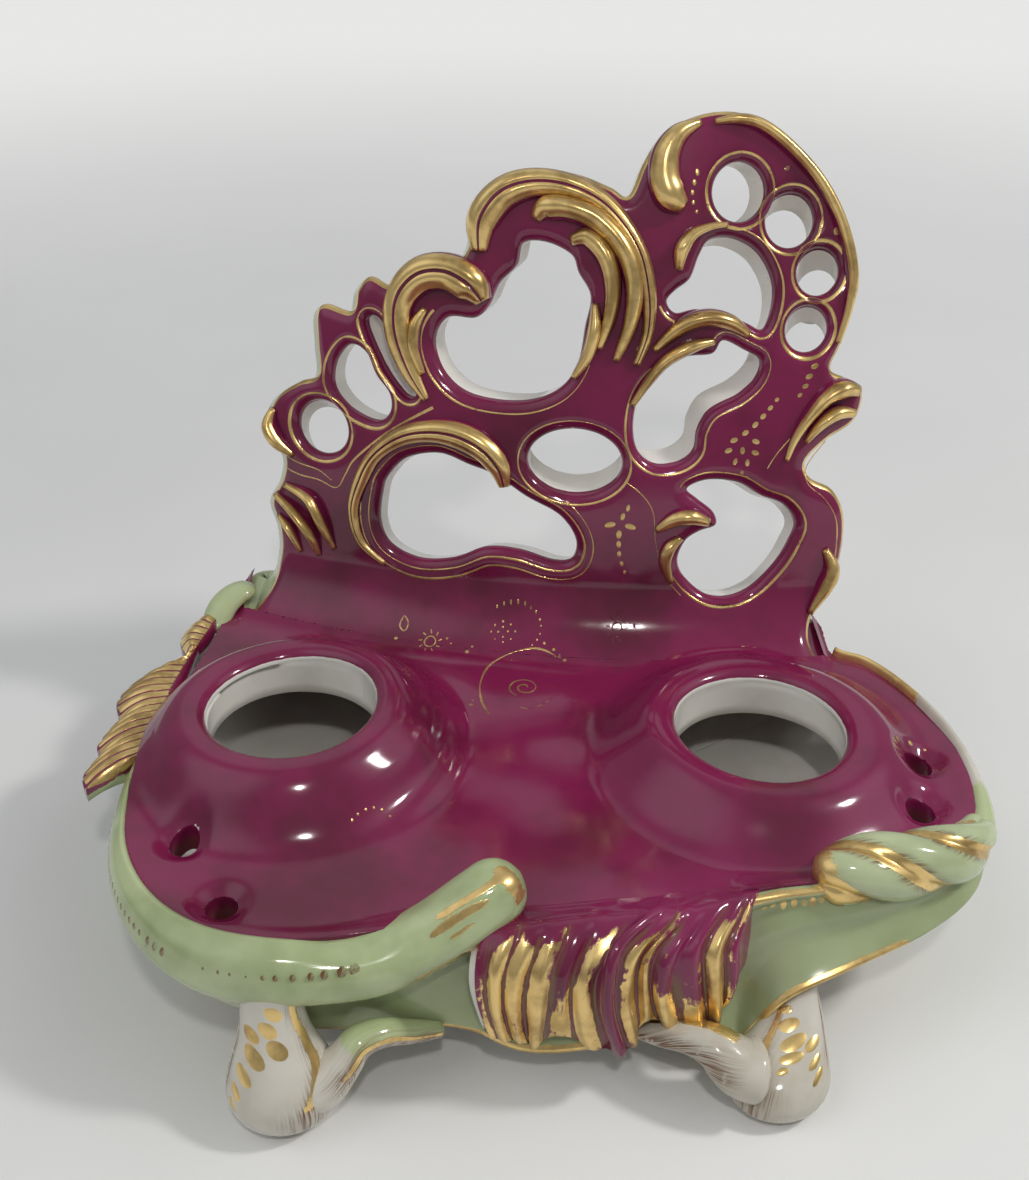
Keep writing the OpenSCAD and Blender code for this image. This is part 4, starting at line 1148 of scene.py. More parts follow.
class Skin:
    """A finished grid that small marks can be set on: the point nearest to a place, and ovals round it."""

    def __init__(self, grid, around=True):
        self.grid, self.around = grid, around

    def at(self, a, b):
        """The point at row a and column b, which need not be whole numbers."""
        n, m = self.grid.shape[:2]
        a = np.clip(a, 0, n - 1.001)
        b = b % m if self.around else np.clip(b, 0, m - 1.001)
        i, j = a.astype(int), b.astype(int)
        s, t = (a - i)[..., None], (b - j)[..., None]
        k = (j + 1) % m
        g = self.grid
        here = g[i, j] * (1 - t) + g[i, k] * t
        there = g[i + 1, j] * (1 - t) + g[i + 1, k] * t
        return here * (1 - s) + there * s

    def oval(self, place, long, wide, turn=0.0, lift=0.22, outward=None, **traits):
        """A low oval dome of half sizes long and wide on the skin round its point nearest to place. turn
        tips it, in degrees from the direction of the rows."""
        d = ((self.grid - np.array(place)) ** 2).sum(-1)
        i, j = np.unravel_index(d.argmin(), d.shape)
        a, b = np.array(float(i)), np.array(float(j))
        da = self.at(a + 1, b) - self.at(a - 1, b)
        db = self.at(a, b + 1) - self.at(a, b - 1)
        la, lb = np.linalg.norm(da) / 2, np.linalg.norm(db) / 2
        n = unit(np.cross(da, db))
        if outward is None:
            outward = self.at(a, b) - self.grid[i].mean(0)
        n = n * np.sign((n * outward).sum())
        rho = np.array([0.02, 0.35, 0.65, 0.85, 1.0])[:, None]
        phi = np.linspace(0, 2 * math.pi, 20, endpoint=False)[None, :]
        t = math.radians(turn)
        e, f = long * rho * np.cos(phi), wide * rho * np.sin(phi)
        u, w = e * math.cos(t) - f * math.sin(t), e * math.sin(t) + f * math.cos(t)
        dome = n * (lift * (1 - rho ** 2) - 0.04)[..., None]
        p = self.at(a + u / la, b + w / lb) + dome
        traits.setdefault("gilt", 1.0)
        traits.setdefault("run", 7.0 + 3.0 * phi)
        return patch(p, around=True, start_cap=True, hint=tuple(n), **traits)


# ---- left bead, and the roll it ends in

BEAD_FROM, BEAD_TO = 4.5, 11.0     # places along the deck's edge, in points of DECK
bead_out, bead_up = section([[-1, -0.5], [0.3, 1.2], [3, 2.0], [6.6, 0.4], [9.0, -4], [9.4, -8.5], [7.2, -13],
                             [3.6, -17], [0.8, -22], [-1.5, -26]])
LEFT_SWELL = [[0, 0.3], [0.12, 0.42], [0.25, 0.58], [0.4, 0.8], [0.55, 1.0], [0.7, 1.0], [0.85, 0.8],
              [1, 0.6]]
ROLL = [[-66, -74, 37.5, 7], [-58, -75.5, 37.5, 7.4], [-48, -75.5, 37.8, 7.6], [-38, -74, 38.2, 7.8],
        [-28, -71.3, 39.6, 7.9], [-20, -68, 42, 8], [-14, -66, 45, 8.2], [-8.5, -64, 48.5, 8.2],
        [-3.5, -61, 51, 8.0], [1.0, -57.5, 52.5, 7.6]]
ROLL_STROKES = (                   # turn and half width in degrees, then where along the roll it lies
    (66, 8, 0.66, 0.97), (46, 10, 0.6, 0.93), (26, 6, 0.66, 0.87), (338, 12, 0.5, 0.99), (318, 6, 0.58, 0.87))
GROWING = (0.4, 0.5, 0.45, 0.3, 0.5, 0.6, 0.7, 0.8, 0.9, 1.1, 1.2)
ON_FRONT = 80                      # rows of the bead from this one on lie on the front edge
MEETS_AT, PARTED_AT = -27.0, -40.0                               # across


def bead_far(s, v):
    """How far the bead stands out, at share s along it and v round its section."""
    return bead_out(v) * table(s, LEFT_SWELL)


def bead_high(s, v):
    """How high the bead stands over the deck."""
    return bead_up(v) * (0.35 + 0.65 * table(s, LEFT_SWELL))


def bead_place(k, v):
    """A point of the bead at place k along the edge and v round its section."""
    s = np.array((k - BEAD_FROM) / (BEAD_TO - BEAD_FROM))
    p, o = edge_at(k)
    q = p + o * float(bead_far(s, v))
    return q[0], q[1], DECK_TOP + float(bead_high(s, v))


def bead_dots(bead):
    """Small brown and gilt dots along the bead: an even run, three longer ones, and a run that grows."""
    skin = Skin(bead)
    dots = []
    for i, k in enumerate(np.arange(5.1, 7.3, 0.12)):
        dots.append(skin.oval(bead_place(k, 0.34), 0.75 + 0.1 * (i % 3), 1.1, 0, 0.10, umber=1.0, gilt=0.25))
    for k in (7.42, 7.54, 7.66):
        dots.append(skin.oval(bead_place(k, 0.33), 0.9, 1.5, 10, 0.12, umber=1.0, gilt=0.5))
    for k, size in zip(np.arange(8.2, 10.0, 0.145), GROWING):
        dots.append(skin.oval(bead_place(k, 0.31), size, 1.3 * size, 0, 0.10, umber=1.0, gilt=0.25))
    return dots


def bead_gilt(s, v):
    """A gilt line along the inner top of the bead."""
    return 0.55 * np.exp(-((v - 0.045) / 0.012) ** 2) * smooth(0.1, 0.3, s)


def roll_gilt(s, t):
    """Brush strokes of gilding along the roll, and a band near its end."""
    t = np.degrees(t) % 360
    total = np.exp(-((s - 0.94) / 0.035) ** 2) * smooth(80, 60, np.abs(t - 20))
    for turn, wide, low, high in ROLL_STROKES:
        ends = smooth(low, low + 0.08, s) * smooth(high, high - 0.1, s)
        total = total + np.exp(-((t - turn) / wide) ** 2) * ends
    return 0.82 * np.clip(total, 0, 1)


def joined_rows(bead, roll):
    """The bead's rows blended into the roll's rows at the same place across, then the roll's rows alone."""
    middle_x = roll.mean(1)[:, 0]
    places = np.arange(len(middle_x))
    across = edge_at(np.linspace(BEAD_FROM, BEAD_TO, len(bead)))[0][:, 0]
    meets = int(np.argmax((across > MEETS_AT) & (np.arange(len(bead)) > ON_FRONT)))
    row = np.interp(across[:meets], middle_x, places)
    low = np.minimum(row.astype(int), len(roll) - 2)
    part = (row - low)[:, None, None]
    along_roll = roll[low] * (1 - part) + roll[low + 1] * part
    share = smooth(-60.0, -30.0, across[:meets]) * (np.arange(meets) > ON_FRONT)
    share = share[:, None, None]
    rest = roll[math.ceil(np.interp(across[meets], middle_x, places)):]
    return np.vstack([bead[:meets] * (1 - share) + along_roll * share, rest])


def bead_and_roll():
    """The bead and its roll as one skin, parted on a shared row: the patches of each part."""
    _, bead = moulding(BEAD_FROM, BEAD_TO, bead_far, across=64,
                       up=lambda s, v: bead_high(s, v) + 0.9 * np.exp(-((v - 0.08) / 0.06) ** 2))
    turns = np.radians(np.linspace(172.0, -172.0, bead.shape[1]))
    _, roll = tube(ROLL, start_round=0.01, turns=turns, shape=lambda s, t: 1.0 + 0.03 * np.cos(5 * t + 9 * s))
    rows = joined_rows(bead, roll)
    count = np.arange(len(rows))[:, None]
    x = rows.mean(1)[:, :1]
    middle_x = roll.mean(1)[:, 0]
    s_bead = np.clip(count / (len(bead) - 1.0), 0, 1)
    s_roll = np.interp(x, middle_x, np.linspace(0, 1, len(middle_x))) * (count > ON_FRONT)
    v = np.linspace(0, 1, rows.shape[1])[None, :]
    gilt = bead_gilt(s_bead, v) * smooth(-45, -60, x) + roll_gilt(s_roll, turns[None, :])
    below = -np.sin(turns)
    umber = 0.8 * smooth(0.45, 0.65, s_roll) * smooth(0.2, 0.5, below) * smooth(0.95, 0.7, below)
    parted = int(np.argmax((count > ON_FRONT) & (x > PARTED_AT)))

    def part(chosen, **ends):
        return patch(rows[chosen], around=True, hint="ring", gilt=gilt[chosen], umber=umber[chosen],
                     run=0.7 * count[chosen], side=8.0 * turns[None, :], **ends)

    left = part(slice(0, parted + 1), start_cap=True)
    right = part(slice(parted, None), end_cap=True)
    return [left] + bead_dots(bead), [right]


bead_parts, roll_parts = bead_and_roll()
piece("left_bead", bead_parts, "green_glaze", ["left_rim"])
piece("scroll_knob", roll_parts, "green_glaze", ["left_scroll_head"])

# ---- front ruffle

# Each ridge, from left to right: four points from the deck down, then how gilt its upper and lower parts
# are, and how far it stands proud.
RIDGES = [
    ([[-9, -67, 44], [-10.5, -73.5, 39], [-10.5, -74.5, 31], [-8, -75, 20]], 0.2, 0.2, 0.0),
    ([[-7.5, -71, 46], [-9, -77, 39.5], [-8.5, -79, 31], [-6, -79, 20]], 0.6, 0.6, 0.0),
    ([[-2, -72.5, 47.3], [-4.5, -78.5, 41], [-4.5, -80.5, 31], [-2.5, -80, 20]], 0.95, 0.9, 0.4),
    ([[4, -72, 47.5], [0.5, -78.5, 40.5], [-0.5, -80.5, 31], [1, -79.5, 19]], 0.85, 0.9, 0.2),
    ([[10, -71, 47], [6.5, -78, 40], [5.5, -80, 30.5], [5, -79.5, 17.5]], 0.9, 0.95, 0.5),
    ([[16, -70, 47], [12, -77.5, 40], [11, -79, 31], [10.5, -79, 21]], 0.45, 0.85, 0.2),
    ([[21.5, -69.5, 46.5], [16.5, -77, 39], [15.5, -79, 30], [18, -79, 16.5]], 0.9, 0.8, 0.3),
    ([[32, -67, 48.5], [23, -76, 45], [21.5, -80, 32], [25, -80, 17]], 0.1, 0.35, 2.4),
    ([[36, -67, 47.6], [28, -75, 42], [26.5, -77.5, 30], [29, -78, 17]], 0.9, 0.85, 0.5),
    ([[39, -67, 47.5], [31.5, -74, 43], [30.5, -76.5, 35], [31.5, -77, 24]], 0.8, 0.85, 0.3),
    ([[43, -66, 47], [36.5, -73.5, 41.5], [34.5, -76, 32], [37, -76, 20]], 0.45, 1.0, 0.6),
    ([[48, -64, 47.5], [42, -72.5, 42.5], [42, -74.5, 33], [44, -75, 19.5]], 0.3, 1.0, 0.8),
    ([[53.5, -62, 47.4], [47.5, -71.5, 42], [47.5, -74, 32.5], [49, -74, 20.5]], 1.0, 0.9, 0.9),
    ([[57, -61, 46.8], [53, -69.5, 41], [53, -72, 32.5], [52, -72.5, 26]], 0.5, 0.65, 0.0),
    ([[59, -57.5, 46], [57.5, -59, 40], [57.5, -60.5, 33], [56.5, -62.5, 27]], 0.0, 0.0, 0.0),
]
EDGE_X, EDGE_Y = [-30, -12, 8, 31, 54, 76], [-71, -66, -65, -62, -58, -55]       # the deck's front edge


def ruffle():
    """Front ruffle: the ridge lines are joined crosswise by a smooth curve. Between two ridges the surface
    drops by the size of a cosine, so that ridges are round and the folds between them sharp. Rows run on
    under the deck at the top and back to the body at the bottom."""
    lines = []
    for points, *_ in RIDGES:
        p = np.array(points, float)
        edge_y = np.interp(p[0, 0], EDGE_X, EDGE_Y)
        root = [[p[0, 0] + 1.5, edge_y + 5.0, 45.6], [p[0, 0] + 1.0, edge_y + 1.5, 46.4]]
        hem = p[-1] + [0, 2.6, -1.2]
        back = p[-1] + [0, 9, 1]
        lines.append(spline(np.vstack([root, p, hem, back]), 12))
    lines = np.stack(lines)                                   # ridge, along, xyz
    fine = 16
    count = (len(RIDGES) - 1) * fine + 1
    net = np.stack([spline(lines[:, k], fine) for k in range(lines.shape[1])], 1)
    s = np.arange(count) / fine
    extra = spline(np.array([[a, b, c] for _, a, b, c in RIDGES]), fine)
    v = np.linspace(0, 1, net.shape[1])[None, :]
    fold = (0.5 * np.abs(np.cos(math.pi * s)) + 0.5 * np.cos(math.pi * s) ** 2)[:, None]
    depth = (1.25 + 0.45 * np.sin(2.1 * s + 1))[:, None] * smooth(0.22, 0.5, v) * smooth(0.93, 0.68, v)
    ds, dv = np.gradient(net, axis=0), np.gradient(net, axis=1)
    n = unit(np.cross(ds, dv))
    n = n * np.sign(-n[..., 1:2].mean())
    high = depth * (fold - 1.0) + extra[:, 2:] * fold * smooth(0.2, 0.5, v) * smooth(0.86, 0.66, v)
    grid = net + n * high[..., None]
    down = smooth(0.45, 0.8, v)
    laid = extra[:, :1] * (1 - down) + extra[:, 1:2] * down
    laid = laid * smooth(0.2, 0.36, v + 0.04 * np.sin(3 * s)[:, None])
    gilt = laid * (0.45 + 0.65 * smooth(0.04, 0.4, fold))
    # The brown trait here is painted shade: brown laid in the creases between the ridges, where the ruffle is
    # gilt.
    umber = 1.1 * smooth(0.3, 0.6, laid) * smooth(0.5, 0.15, fold)
    bare_hem = 0.9 * np.exp(-((s - 4.2) / 0.9) ** 2)[:, None] * smooth(0.83, 0.86, v)
    white = bare_hem + 0.7 * smooth(0.9, 0.3, s)[:, None]
    return patch(grid, hint=(0, -1, 0.4), gilt=gilt, umber=umber, white=np.clip(white, 0, 1),
                 run=np.linspace(0, 50, net.shape[1])[None, :], side=(s * 4.5)[:, None])


piece("front_ruffle", [ruffle()], "gilded_ruffle", ["front_shell"])

# ---- green skirt right of the ruffle: its lower edge rises towards the right

# [place along the deck's edge, value]: the height of the lower edge, and how far it stands out
SKIRT_LOW = [[13.6, 13], [13.9, 8.5], [14.05, 9.5], [14.25, 17], [14.5, 23], [14.9, 27], [15.5, 30.5],
             [16, 32.5], [17, 34.5], [18.35, 37]]
SKIRT_FLARE = [[13.6, 12.5], [14.2, 13.5], [15, 12], [15.6, 9.5], [16.3, 6.8], [17.2, 4.8], [18.35, 3.2]]
SKIRT_DOTS = (                     # across, along, half width
    (60, -57, 0.7), (62.5, -56.7, 0.9), (65, -56.5, 1.5), (67.5, -56.2, 1.7), (70, -56, 0.9),
    (72.3, -55.8, 1.5), (74.5, -55.5, 0.8))
SKIRT_PARTED = 103                 # the row where right_panel ends and right_under_rim starts


def skirt():
    """Rows down the front right side: out from the deck edge by a power of the fall, down to a lower edge
    that climbs to the right, then back under it."""
    k = np.linspace(13.6, 18.35, 203)
    p, o = edge_at(k)
    low = table(k, SKIRT_LOW)[:, None]
    flare = table(k, SKIRT_FLARE)[:, None]
    v = np.concatenate([np.linspace(0, 1, 40), np.ones(7)])[None, :]
    back = np.concatenate([np.zeros(40), [0.15, 0.4, 0.8, 1.5, 4, 8, 13]])[None, :]
    top = DECK_TOP + 0.2 + 1.0 * smooth(14.0, 14.6, k)[:, None]
    z = top - (top - low) * v - 0.6 * (v < 0.001)
    lip = 2.2 * np.exp(-((v - 0.08) / 0.07) ** 2)
    belly = 2.2 * np.exp(-((v - 0.42) / 0.17) ** 2) * smooth(16.8, 15.2, k)[:, None]
    out = np.where(v < 0.001, -2.0, 0.3 + lip + flare * v ** 2.4 - back + belly)
    z = z - 0.9 * np.sin(np.clip(back / 1.5, 0, 1) * math.pi) + 0.28 * back
    grid = np.stack([p[:, :1] + o[:, :1] * out, p[:, 1:] + o[:, 1:] * out, z + 0 * out], -1)
    rim = np.exp(-((v - 0.045) / 0.03) ** 2) * smooth(15.9, 14.6, k)[:, None]
    hem = smooth(0.9, 0.97, v) * smooth(16.1, 15.7, k)[:, None]
    return grid, np.clip(1.1 * rim + 0.8 * hem, 0, 1)


skirt_grid, skirt_gilt = skirt()
skirt_skin = Skin(skirt_grid, around=False)
skirt_dots = [skirt_skin.oval((x, y, 42.0), 0.9, size, 0, 0.12, outward=(0.2, -1, 0.2), gilt=0.7)
              for x, y, size in SKIRT_DOTS]
skirt_left = patch(skirt_grid[:SKIRT_PARTED + 1], hint=(0.2, -1, 0.2), gilt=skirt_gilt[:SKIRT_PARTED + 1])
skirt_right = patch(skirt_grid[SKIRT_PARTED:], hint=(0.5, -1, 0.2), gilt=skirt_gilt[SKIRT_PARTED:])
# The skirt takes the darker green copy: painted shade.
piece("green_skirt", [skirt_left] + skirt_dots, "green_painted_shade", ["right_panel"])
piece("green_skirt_tip", [skirt_right], "green_painted_shade", ["right_under_rim"])

# ---- thin pale rim of the right edge

thin_out, thin_up = section([[-1, -0.5], [0.2, 1.4], [2.4, 2.2], [4.4, 0.5], [4.8, -3], [3, -6.5], [0, -8],
                             [-2, -8]])
RIGHT_SWELL = [[0, 1.2], [0.25, 0.75], [0.6, 0.5], [1, 0.35]]
thin_rim, _ = moulding(17.7, 22.95, out=lambda s, v: thin_out(v) * table(s, RIGHT_SWELL),
                       up=lambda s, v: thin_up(v),
                       gilt=lambda s, v: 0.85 * smooth(0.42, 0.65, s) * smooth(0.45, 0.3, v),
                       green=lambda s, v: smooth(0.3, 0.0, s))
piece("right_thin_rim", [thin_rim], "white_glaze", ["right_edge_rim"])

# ---- rope of three strands on the right front corner

ROPE = [[73, -51.5, 45, 4.2], [77, -52, 46.5, 7.4], [86, -51, 47.5, 8.8], [97, -48.5, 47, 8.6],
        [108, -44.5, 46, 7.8], [116.5, -37, 44.5, 5.9], [120, -29, 43.5, 3.8]]
WIND = 2 * math.pi * 0.95


def strands(s, t):
    """1 on the crown of a strand and 0 in the groove between two, the three wound round the rope."""
    return np.abs(np.cos(1.5 * (t + WIND * s + 0.4)))


rope, _ = tube(
    ROPE, around=96, start_round=0.9,
    shape=lambda s, t: 0.74 + 0.26 * strands(s, t) ** 0.7,
    gilt=lambda s, t: (0.8 * smooth(0.75, 0.35, strands(s, t)) * smooth(1.0, 0.8, s)
                       + 0.7 * smooth(0.2, 0.06, s)),
    umber=lambda s, t: 0.75 * smooth(0.85, 0.5, strands(s, t)) * smooth(0.9, 0.6, s))
piece("rope_twist", [rope], "green_glaze", ["right_twist"])

# ---- fans on the left edge: rays from a root line out to a scalloped rim


def points_of(path, count):
    """count points of a path, by even steps of its index."""
    at = np.linspace(0, len(path) - 1, count)
    return np.stack([np.interp(at, np.arange(len(path)), path[:, k]) for k in (0, 1)], 1)


def fan(root, rim, rays, thick=3.0, arch=2.2, droop=3.0):
    """A fan between a root line and a rim line of [x, y] points. Its top rises by a half sine over the
    length of the rays, droops towards the rim, and is cut by sharp folds between the rays; its underside
    runs back to the root lower down."""
    count = 150
    a = points_of(evenly(spline(root, 12), 0.25), count)
    b = points_of(evenly(spline(rim, 12), 0.25), count)
    s = np.linspace(0, 1, count)[:, None]
    v = np.linspace(0, 1, 26)[None, :]
    fold = np.abs(np.cos(math.pi * rays * s))
    xy = a[:, None, :] * (1 - v[..., None]) + b[:, None, :] * v[..., None]
    cut = 0.9 * (1 - fold) * smooth(0.05, 0.3, v)
    top = DECK_TOP + 0.6 + arch * np.sin(math.pi * v) ** 0.8 - droop * v ** 2 - cut
    low = DECK_TOP - thick - 5.0 * (1 - v) ** 2 - droop * v ** 2 + 0 * s
    grid = np.concatenate([np.concatenate([xy, top[..., None]], -1),
                           np.concatenate([xy[:, ::-1], low[:, ::-1, None]], -1)], 1)
    lines = smooth(0.12, 0.45, fold) * smooth(0.02, 0.16, v) * smooth(1.0, 0.93, v)
    gilt = np.concatenate([0.2 + 0.75 * lines, 0 * lines], 1)
    green = np.concatenate([0 * lines, 1 + 0 * lines], 1)
    return patch(grid, around=True, hint="ring", start_cap=True, end_cap=True, gilt=gilt, green=green,
                 run=(25 * np.concatenate([v, v], 1)), side=(20 * s))


FIN_ROOT = [[-96, 47], [-97, 39], [-97.6, 32], [-98.2, 25], [-98.8, 18], [-99.5, 10], [-100, 3], [-99.5, -5]]
FIN_RIM = [[-98.5, 43], [-101.5, 37.5], [-107, 37], [-111.5, 34], [-114.8, 27.5], [-115.3, 21], [-113, 15],
           [-114.8, 9], [-116, 2], [-114.5, -2], [-116, -7], [-116.5, -12], [-114, -17]]
LEAF_ROOT = [[-93, 63], [-93.5, 57], [-95, 50], [-96.5, 45]]
LEAF_RIM = [[-96.5, 68.5], [-101, 64], [-103.5, 57], [-102.5, 51], [-99, 45.5]]
CURL = [[-94, 60, 43, 3.5], [-93.5, 64.5, 46, 4.6], [-91.5, 69, 48.5, 5], [-88, 73, 50, 4.8],
        [-83, 76, 50, 4.0]]
piece("left_fan", [fan(FIN_ROOT, FIN_RIM, 17)], "gilded_scroll", ["left_fin"])
piece("left_small_leaf", [fan(LEAF_ROOT, LEAF_RIM, 6)], "gilded_scroll", ["left_leaf"])
curl, _ = tube(CURL, start_round=0.5, flat=0.6)
piece("left_green_curl", [curl], "green_glaze", ["left_curl"])

# ---------------------------------------------------------------- body and feet


BODY_WALL = 4.5
BODY_UNDERSIDE = (0.1, 0.45, 0.8, 0.94)                          # shares of the outline's size, at height 14
BODY_OUTSIDE = (                   # height, share of the outline's size, how gilt
    (13.8, 0.975, 0.3), (14.2, 0.99, 0.8), (15.2, 0.998, 0.8), (16.6, 1.0, 0.3), (18.5, 1.0, 0), (21, 1.0, 0),
    (24, 1.0, 0), (28, 1.0, 0), (32, 1.0, 0), (36, 1.0, 0), (DECK_UNDER, 1.0, 0))
BODY_INSIDE = (                    # height, distance from the outside, share of the outline's size
    (DECK_UNDER, BODY_WALL, 1.0), (32, BODY_WALL, 1.0), (24, BODY_WALL, 1.0), (19.5, 4.8, 1.0),
    (18, 6.5, 1.0), (18, 6.5, 0.8), (18, 6.5, 0.45), (18, 6.5, 0.1))


def body_skin():
    """The hollow body as one closed skin: each row is the deck outline at one share of its size about a
    point of the front edge, from the middle of the underside out, up the outside, over the top edge, down
    the inside and in over the floor. The sides draw in like a bowl; the front stays upright."""
    line = evenly(EDGE, 1.6, True)
    out = outward_of(line)
    wave = 1.1 * np.sin(np.linspace(0, 2 * math.pi * 7, len(line)))
    fixed, shrink = np.array([10.0, -66.0]), np.array([0.20, 0.17])
    middle = np.array([10.0, 2.0])
    flare = 14.0 * np.exp(-np.abs((line[:, 0] - 12.0) / 32.0) ** 3) * smooth(-40.0, -50.0, line[:, 1])
    rows, white, gilt = [], [], []

    def add(z, wall=0.0, share=1.0, pale=0.0, gold=0.0, low=0.0):
        u = np.clip((DECK_UNDER - z) / 27.0, 0.0, 1.0)
        inward = 1.0 - shrink * (1.0 - math.sqrt(max(1.0 - u ** 2, 0.0))) * 0.75 - shrink * u * 0.25
        xy = fixed + (line - out * wall - fixed) * inward + out * (flare * u ** 2.2)[:, None]
        xy = middle + (xy - middle) * share
        rows.append(np.concatenate([xy, (z + low * wave)[:, None]], 1))
        white.append(pale)
        gilt.append(gold)

    for share in BODY_UNDERSIDE:
        add(14.0, share=share, pale=1.0)
    for z, share, gold in BODY_OUTSIDE:
        add(z, share=share, gold=gold, low=max(0.0, 1 - abs(z - 15) / 6))
    for z, wall, share in BODY_INSIDE:
        add(z, wall, share, pale=1.0)
    return patch(np.stack(rows), around=True, start_cap=True, end_cap=True, hint=(0, 0, -1),
                 white=np.array(white)[:, None], gilt=np.array(gilt)[:, None])


# The body takes the darker green copy: painted shade.
piece("body_skin", [body_skin()], "green_painted_shade", ["body_shell"])

# ---- feet

BACK_CLUB = [[0, 6.7], [2.2, 10.5], [5.6, 12.8], [10, 13.5], [14, 13], [19, 11.2], [24, 9.4], [31, 8.6],
             [36, 9]]
# Each foot: its node, its [x, y, z, radius] line, the line of its wing, and its gilt ovals as place, half
# length, half width, turn and how gilt. The back ones lean back a little and are plain.
FEET = {
    "foot_front_left": (
        "front_left_foot",
        [[-55, -83.4, 0, 6.7], [-55, -83.4, 2.2, 10.5], [-55, -83.4, 5.6, 12.8], [-55, -83.4, 10, 13.5],
         [-55.3, -83, 14, 12.6], [-56, -81.5, 19, 10.6], [-56.6, -79.5, 24, 8.6], [-57, -77.5, 31, 7.6],
         [-57, -75, 38, 8]],
        [[-52, -84, 10.5, 9], [-46, -85, 11.5, 7.4], [-41, -83.5, 16, 5.4], [-37, -81, 20.5, 4.4],
         [-31.5, -78, 20.5, 3.8], [-25, -75, 17.5, 3.2], [-17, -73, 16, 2]],
        [((-55.5, -84.5, 33), 2.8, 1.8, -50, 0.8), ((-57, -84.5, 28.8), 2.9, 2.1, -45, 0.95),
         ((-61, -84.5, 27.3), 2.9, 2.2, -60, 0.95), ((-55, -86.5, 24.5), 3.3, 2.4, -40, 1.0),
         ((-60.2, -87, 22.6), 3.8, 2.5, -50, 1.0), ((-62.8, -88.5, 18.3), 3.4, 2.0, -55, 0.95),
         ((-65.4, -90.5, 14.6), 2.6, 1.5, -50, 0.85), ((-66, -91, 11), 2.0, 1.2, -40, 0.75)]),
    "foot_front_right": (
        "front_right_foot",
        [[63.5, -79.8, 0, 6.4], [63.5, -79.8, 1.6, 9.8], [63.5, -79.8, 4.2, 11.9], [63.8, -79.4, 7.5, 12.3],
         [64.6, -77.8, 11, 11.2], [66.5, -74.5, 14.5, 8.8], [69, -69.5, 18.5, 5.8], [70.5, -64, 23, 3.6],
         [71, -58, 28, 4]],
        [[60, -82, 11.5, 9], [53.5, -82, 13.5, 7.8], [47.5, -79.5, 17.5, 5.8], [42, -77, 18, 4.6],
         [35, -74, 16, 3.6], [27, -71, 15, 2]],
        [((66.5, -68.5, 22.5), 1.3, 0.7, 50, 0.5), ((65.5, -71, 21), 2.2, 1.0, 50, 0.6),
         ((66, -74.5, 19.5), 3.2, 1.8, 50, 0.95), ((67, -78, 17.5), 3.9, 2.2, 50, 1.0),
         ((71.5, -78.5, 17.5), 2.6, 1.9, 60, 0.95), ((66, -82, 16), 3.4, 1.7, 68, 1.0),
         ((63.5, -84, 14.5), 1.6, 1.1, 60, 1.0), ((72, -82, 15), 2.4, 1.5, 55, 0.9),
         ((72.5, -85, 13), 2.6, 1.3, 45, 0.8), ((52, -82, 9.5), 1.2, 0.8, 60, 0.5)]),
    "foot_back_left": ("back_left_foot", [[-57, 92 - 0.15 * z, z, r] for z, r in BACK_CLUB], None, []),
    "foot_back_right": ("back_right_foot", [[73, 75.5 - 0.15 * z, z, r] for z, r in BACK_CLUB], None, []),
}
# The brushwork of a front foot, in degrees round the club: the far edge line, the near band at five heights,
# and the brown brush mark at its base; then where the wing's gilding lies, and how green the wing is.
BAND_HEIGHTS = [10, 15, 20, 25, 32]
LEFT_BRUSH = (196.0, [296, 318, 336, 332, 318], 305.0, 0.25, 1.0)
RIGHT_BRUSH = (338.0, [238, 215, 202, 205, 215], 232.0, 0.85, 0.0)


def club_grid(line):
    """Club foot: level rings round an [x, y, z, radius] line, a little shallower from front to back."""
    path = spline(line, 12)
    turn = np.linspace(0, 2 * math.pi, 120, endpoint=False)[None, :]
    r = path[:, 3:] * (1.0 + 0.02 * np.sin(2 * turn + 0.12 * path[:, 2:3]))
    x, y = path[:, :1] + r * np.cos(turn), path[:, 1:2] + 0.92 * r * np.sin(turn)
    return np.stack([x, y, path[:, 2:3] + 0 * r], -1)


def club_brush(club, far, near_turns, mark):
    """The traits of a front foot's club: a gilt band, a thin brown edge line and a brown brush mark."""
    turn = np.linspace(0, 360, club.shape[1], endpoint=False)[None, :]
    height = club[:, :1, 2]
    near = np.interp(height, BAND_HEIGHTS, near_turns)
    band = np.exp(-((turn - near) / 13.0) ** 2) * smooth(9.0, 13.0, height)
    edge = np.exp(-((turn - far) / 5.0) ** 2) * smooth(10.0, 15.0, height)
    brush = np.exp(-((turn - mark) / 24.0) ** 2) * smooth(14.0, 9.0, height) * smooth(1.0, 5.0, height)
    return {"gilt": np.clip(0.8 * band + 0.35 * edge, 0, 1),
            "umber": np.clip(edge + 0.75 * brush + 0.8 * band, 0, 1),
            "run": height, "side": 0.236 * turn}


def wing_arm(line, gilt_at, leafy):
    """The wing that runs from a front foot to the ruffle, gilt and brown along its front."""
    arm, _ = tube(
        line, start_round=0.4, end_round=0.5, flat=0.85,
        gilt=lambda s, t: (0.7 * smooth(0.2, 0.35, s) * np.exp(-((np.sin(t) - gilt_at) / 0.35) ** 2)
                           * smooth(-0.4, 0.1, np.cos(t))),
        umber=lambda s, t: smooth(0.15, 0.3, s) * np.exp(-((np.sin(t) - 0.1) / 0.55) ** 2),
        green=lambda s, t: leafy * smooth(0.3, 0.55, s) * smooth(0.1, 0.5, np.sin(t)))
    return arm


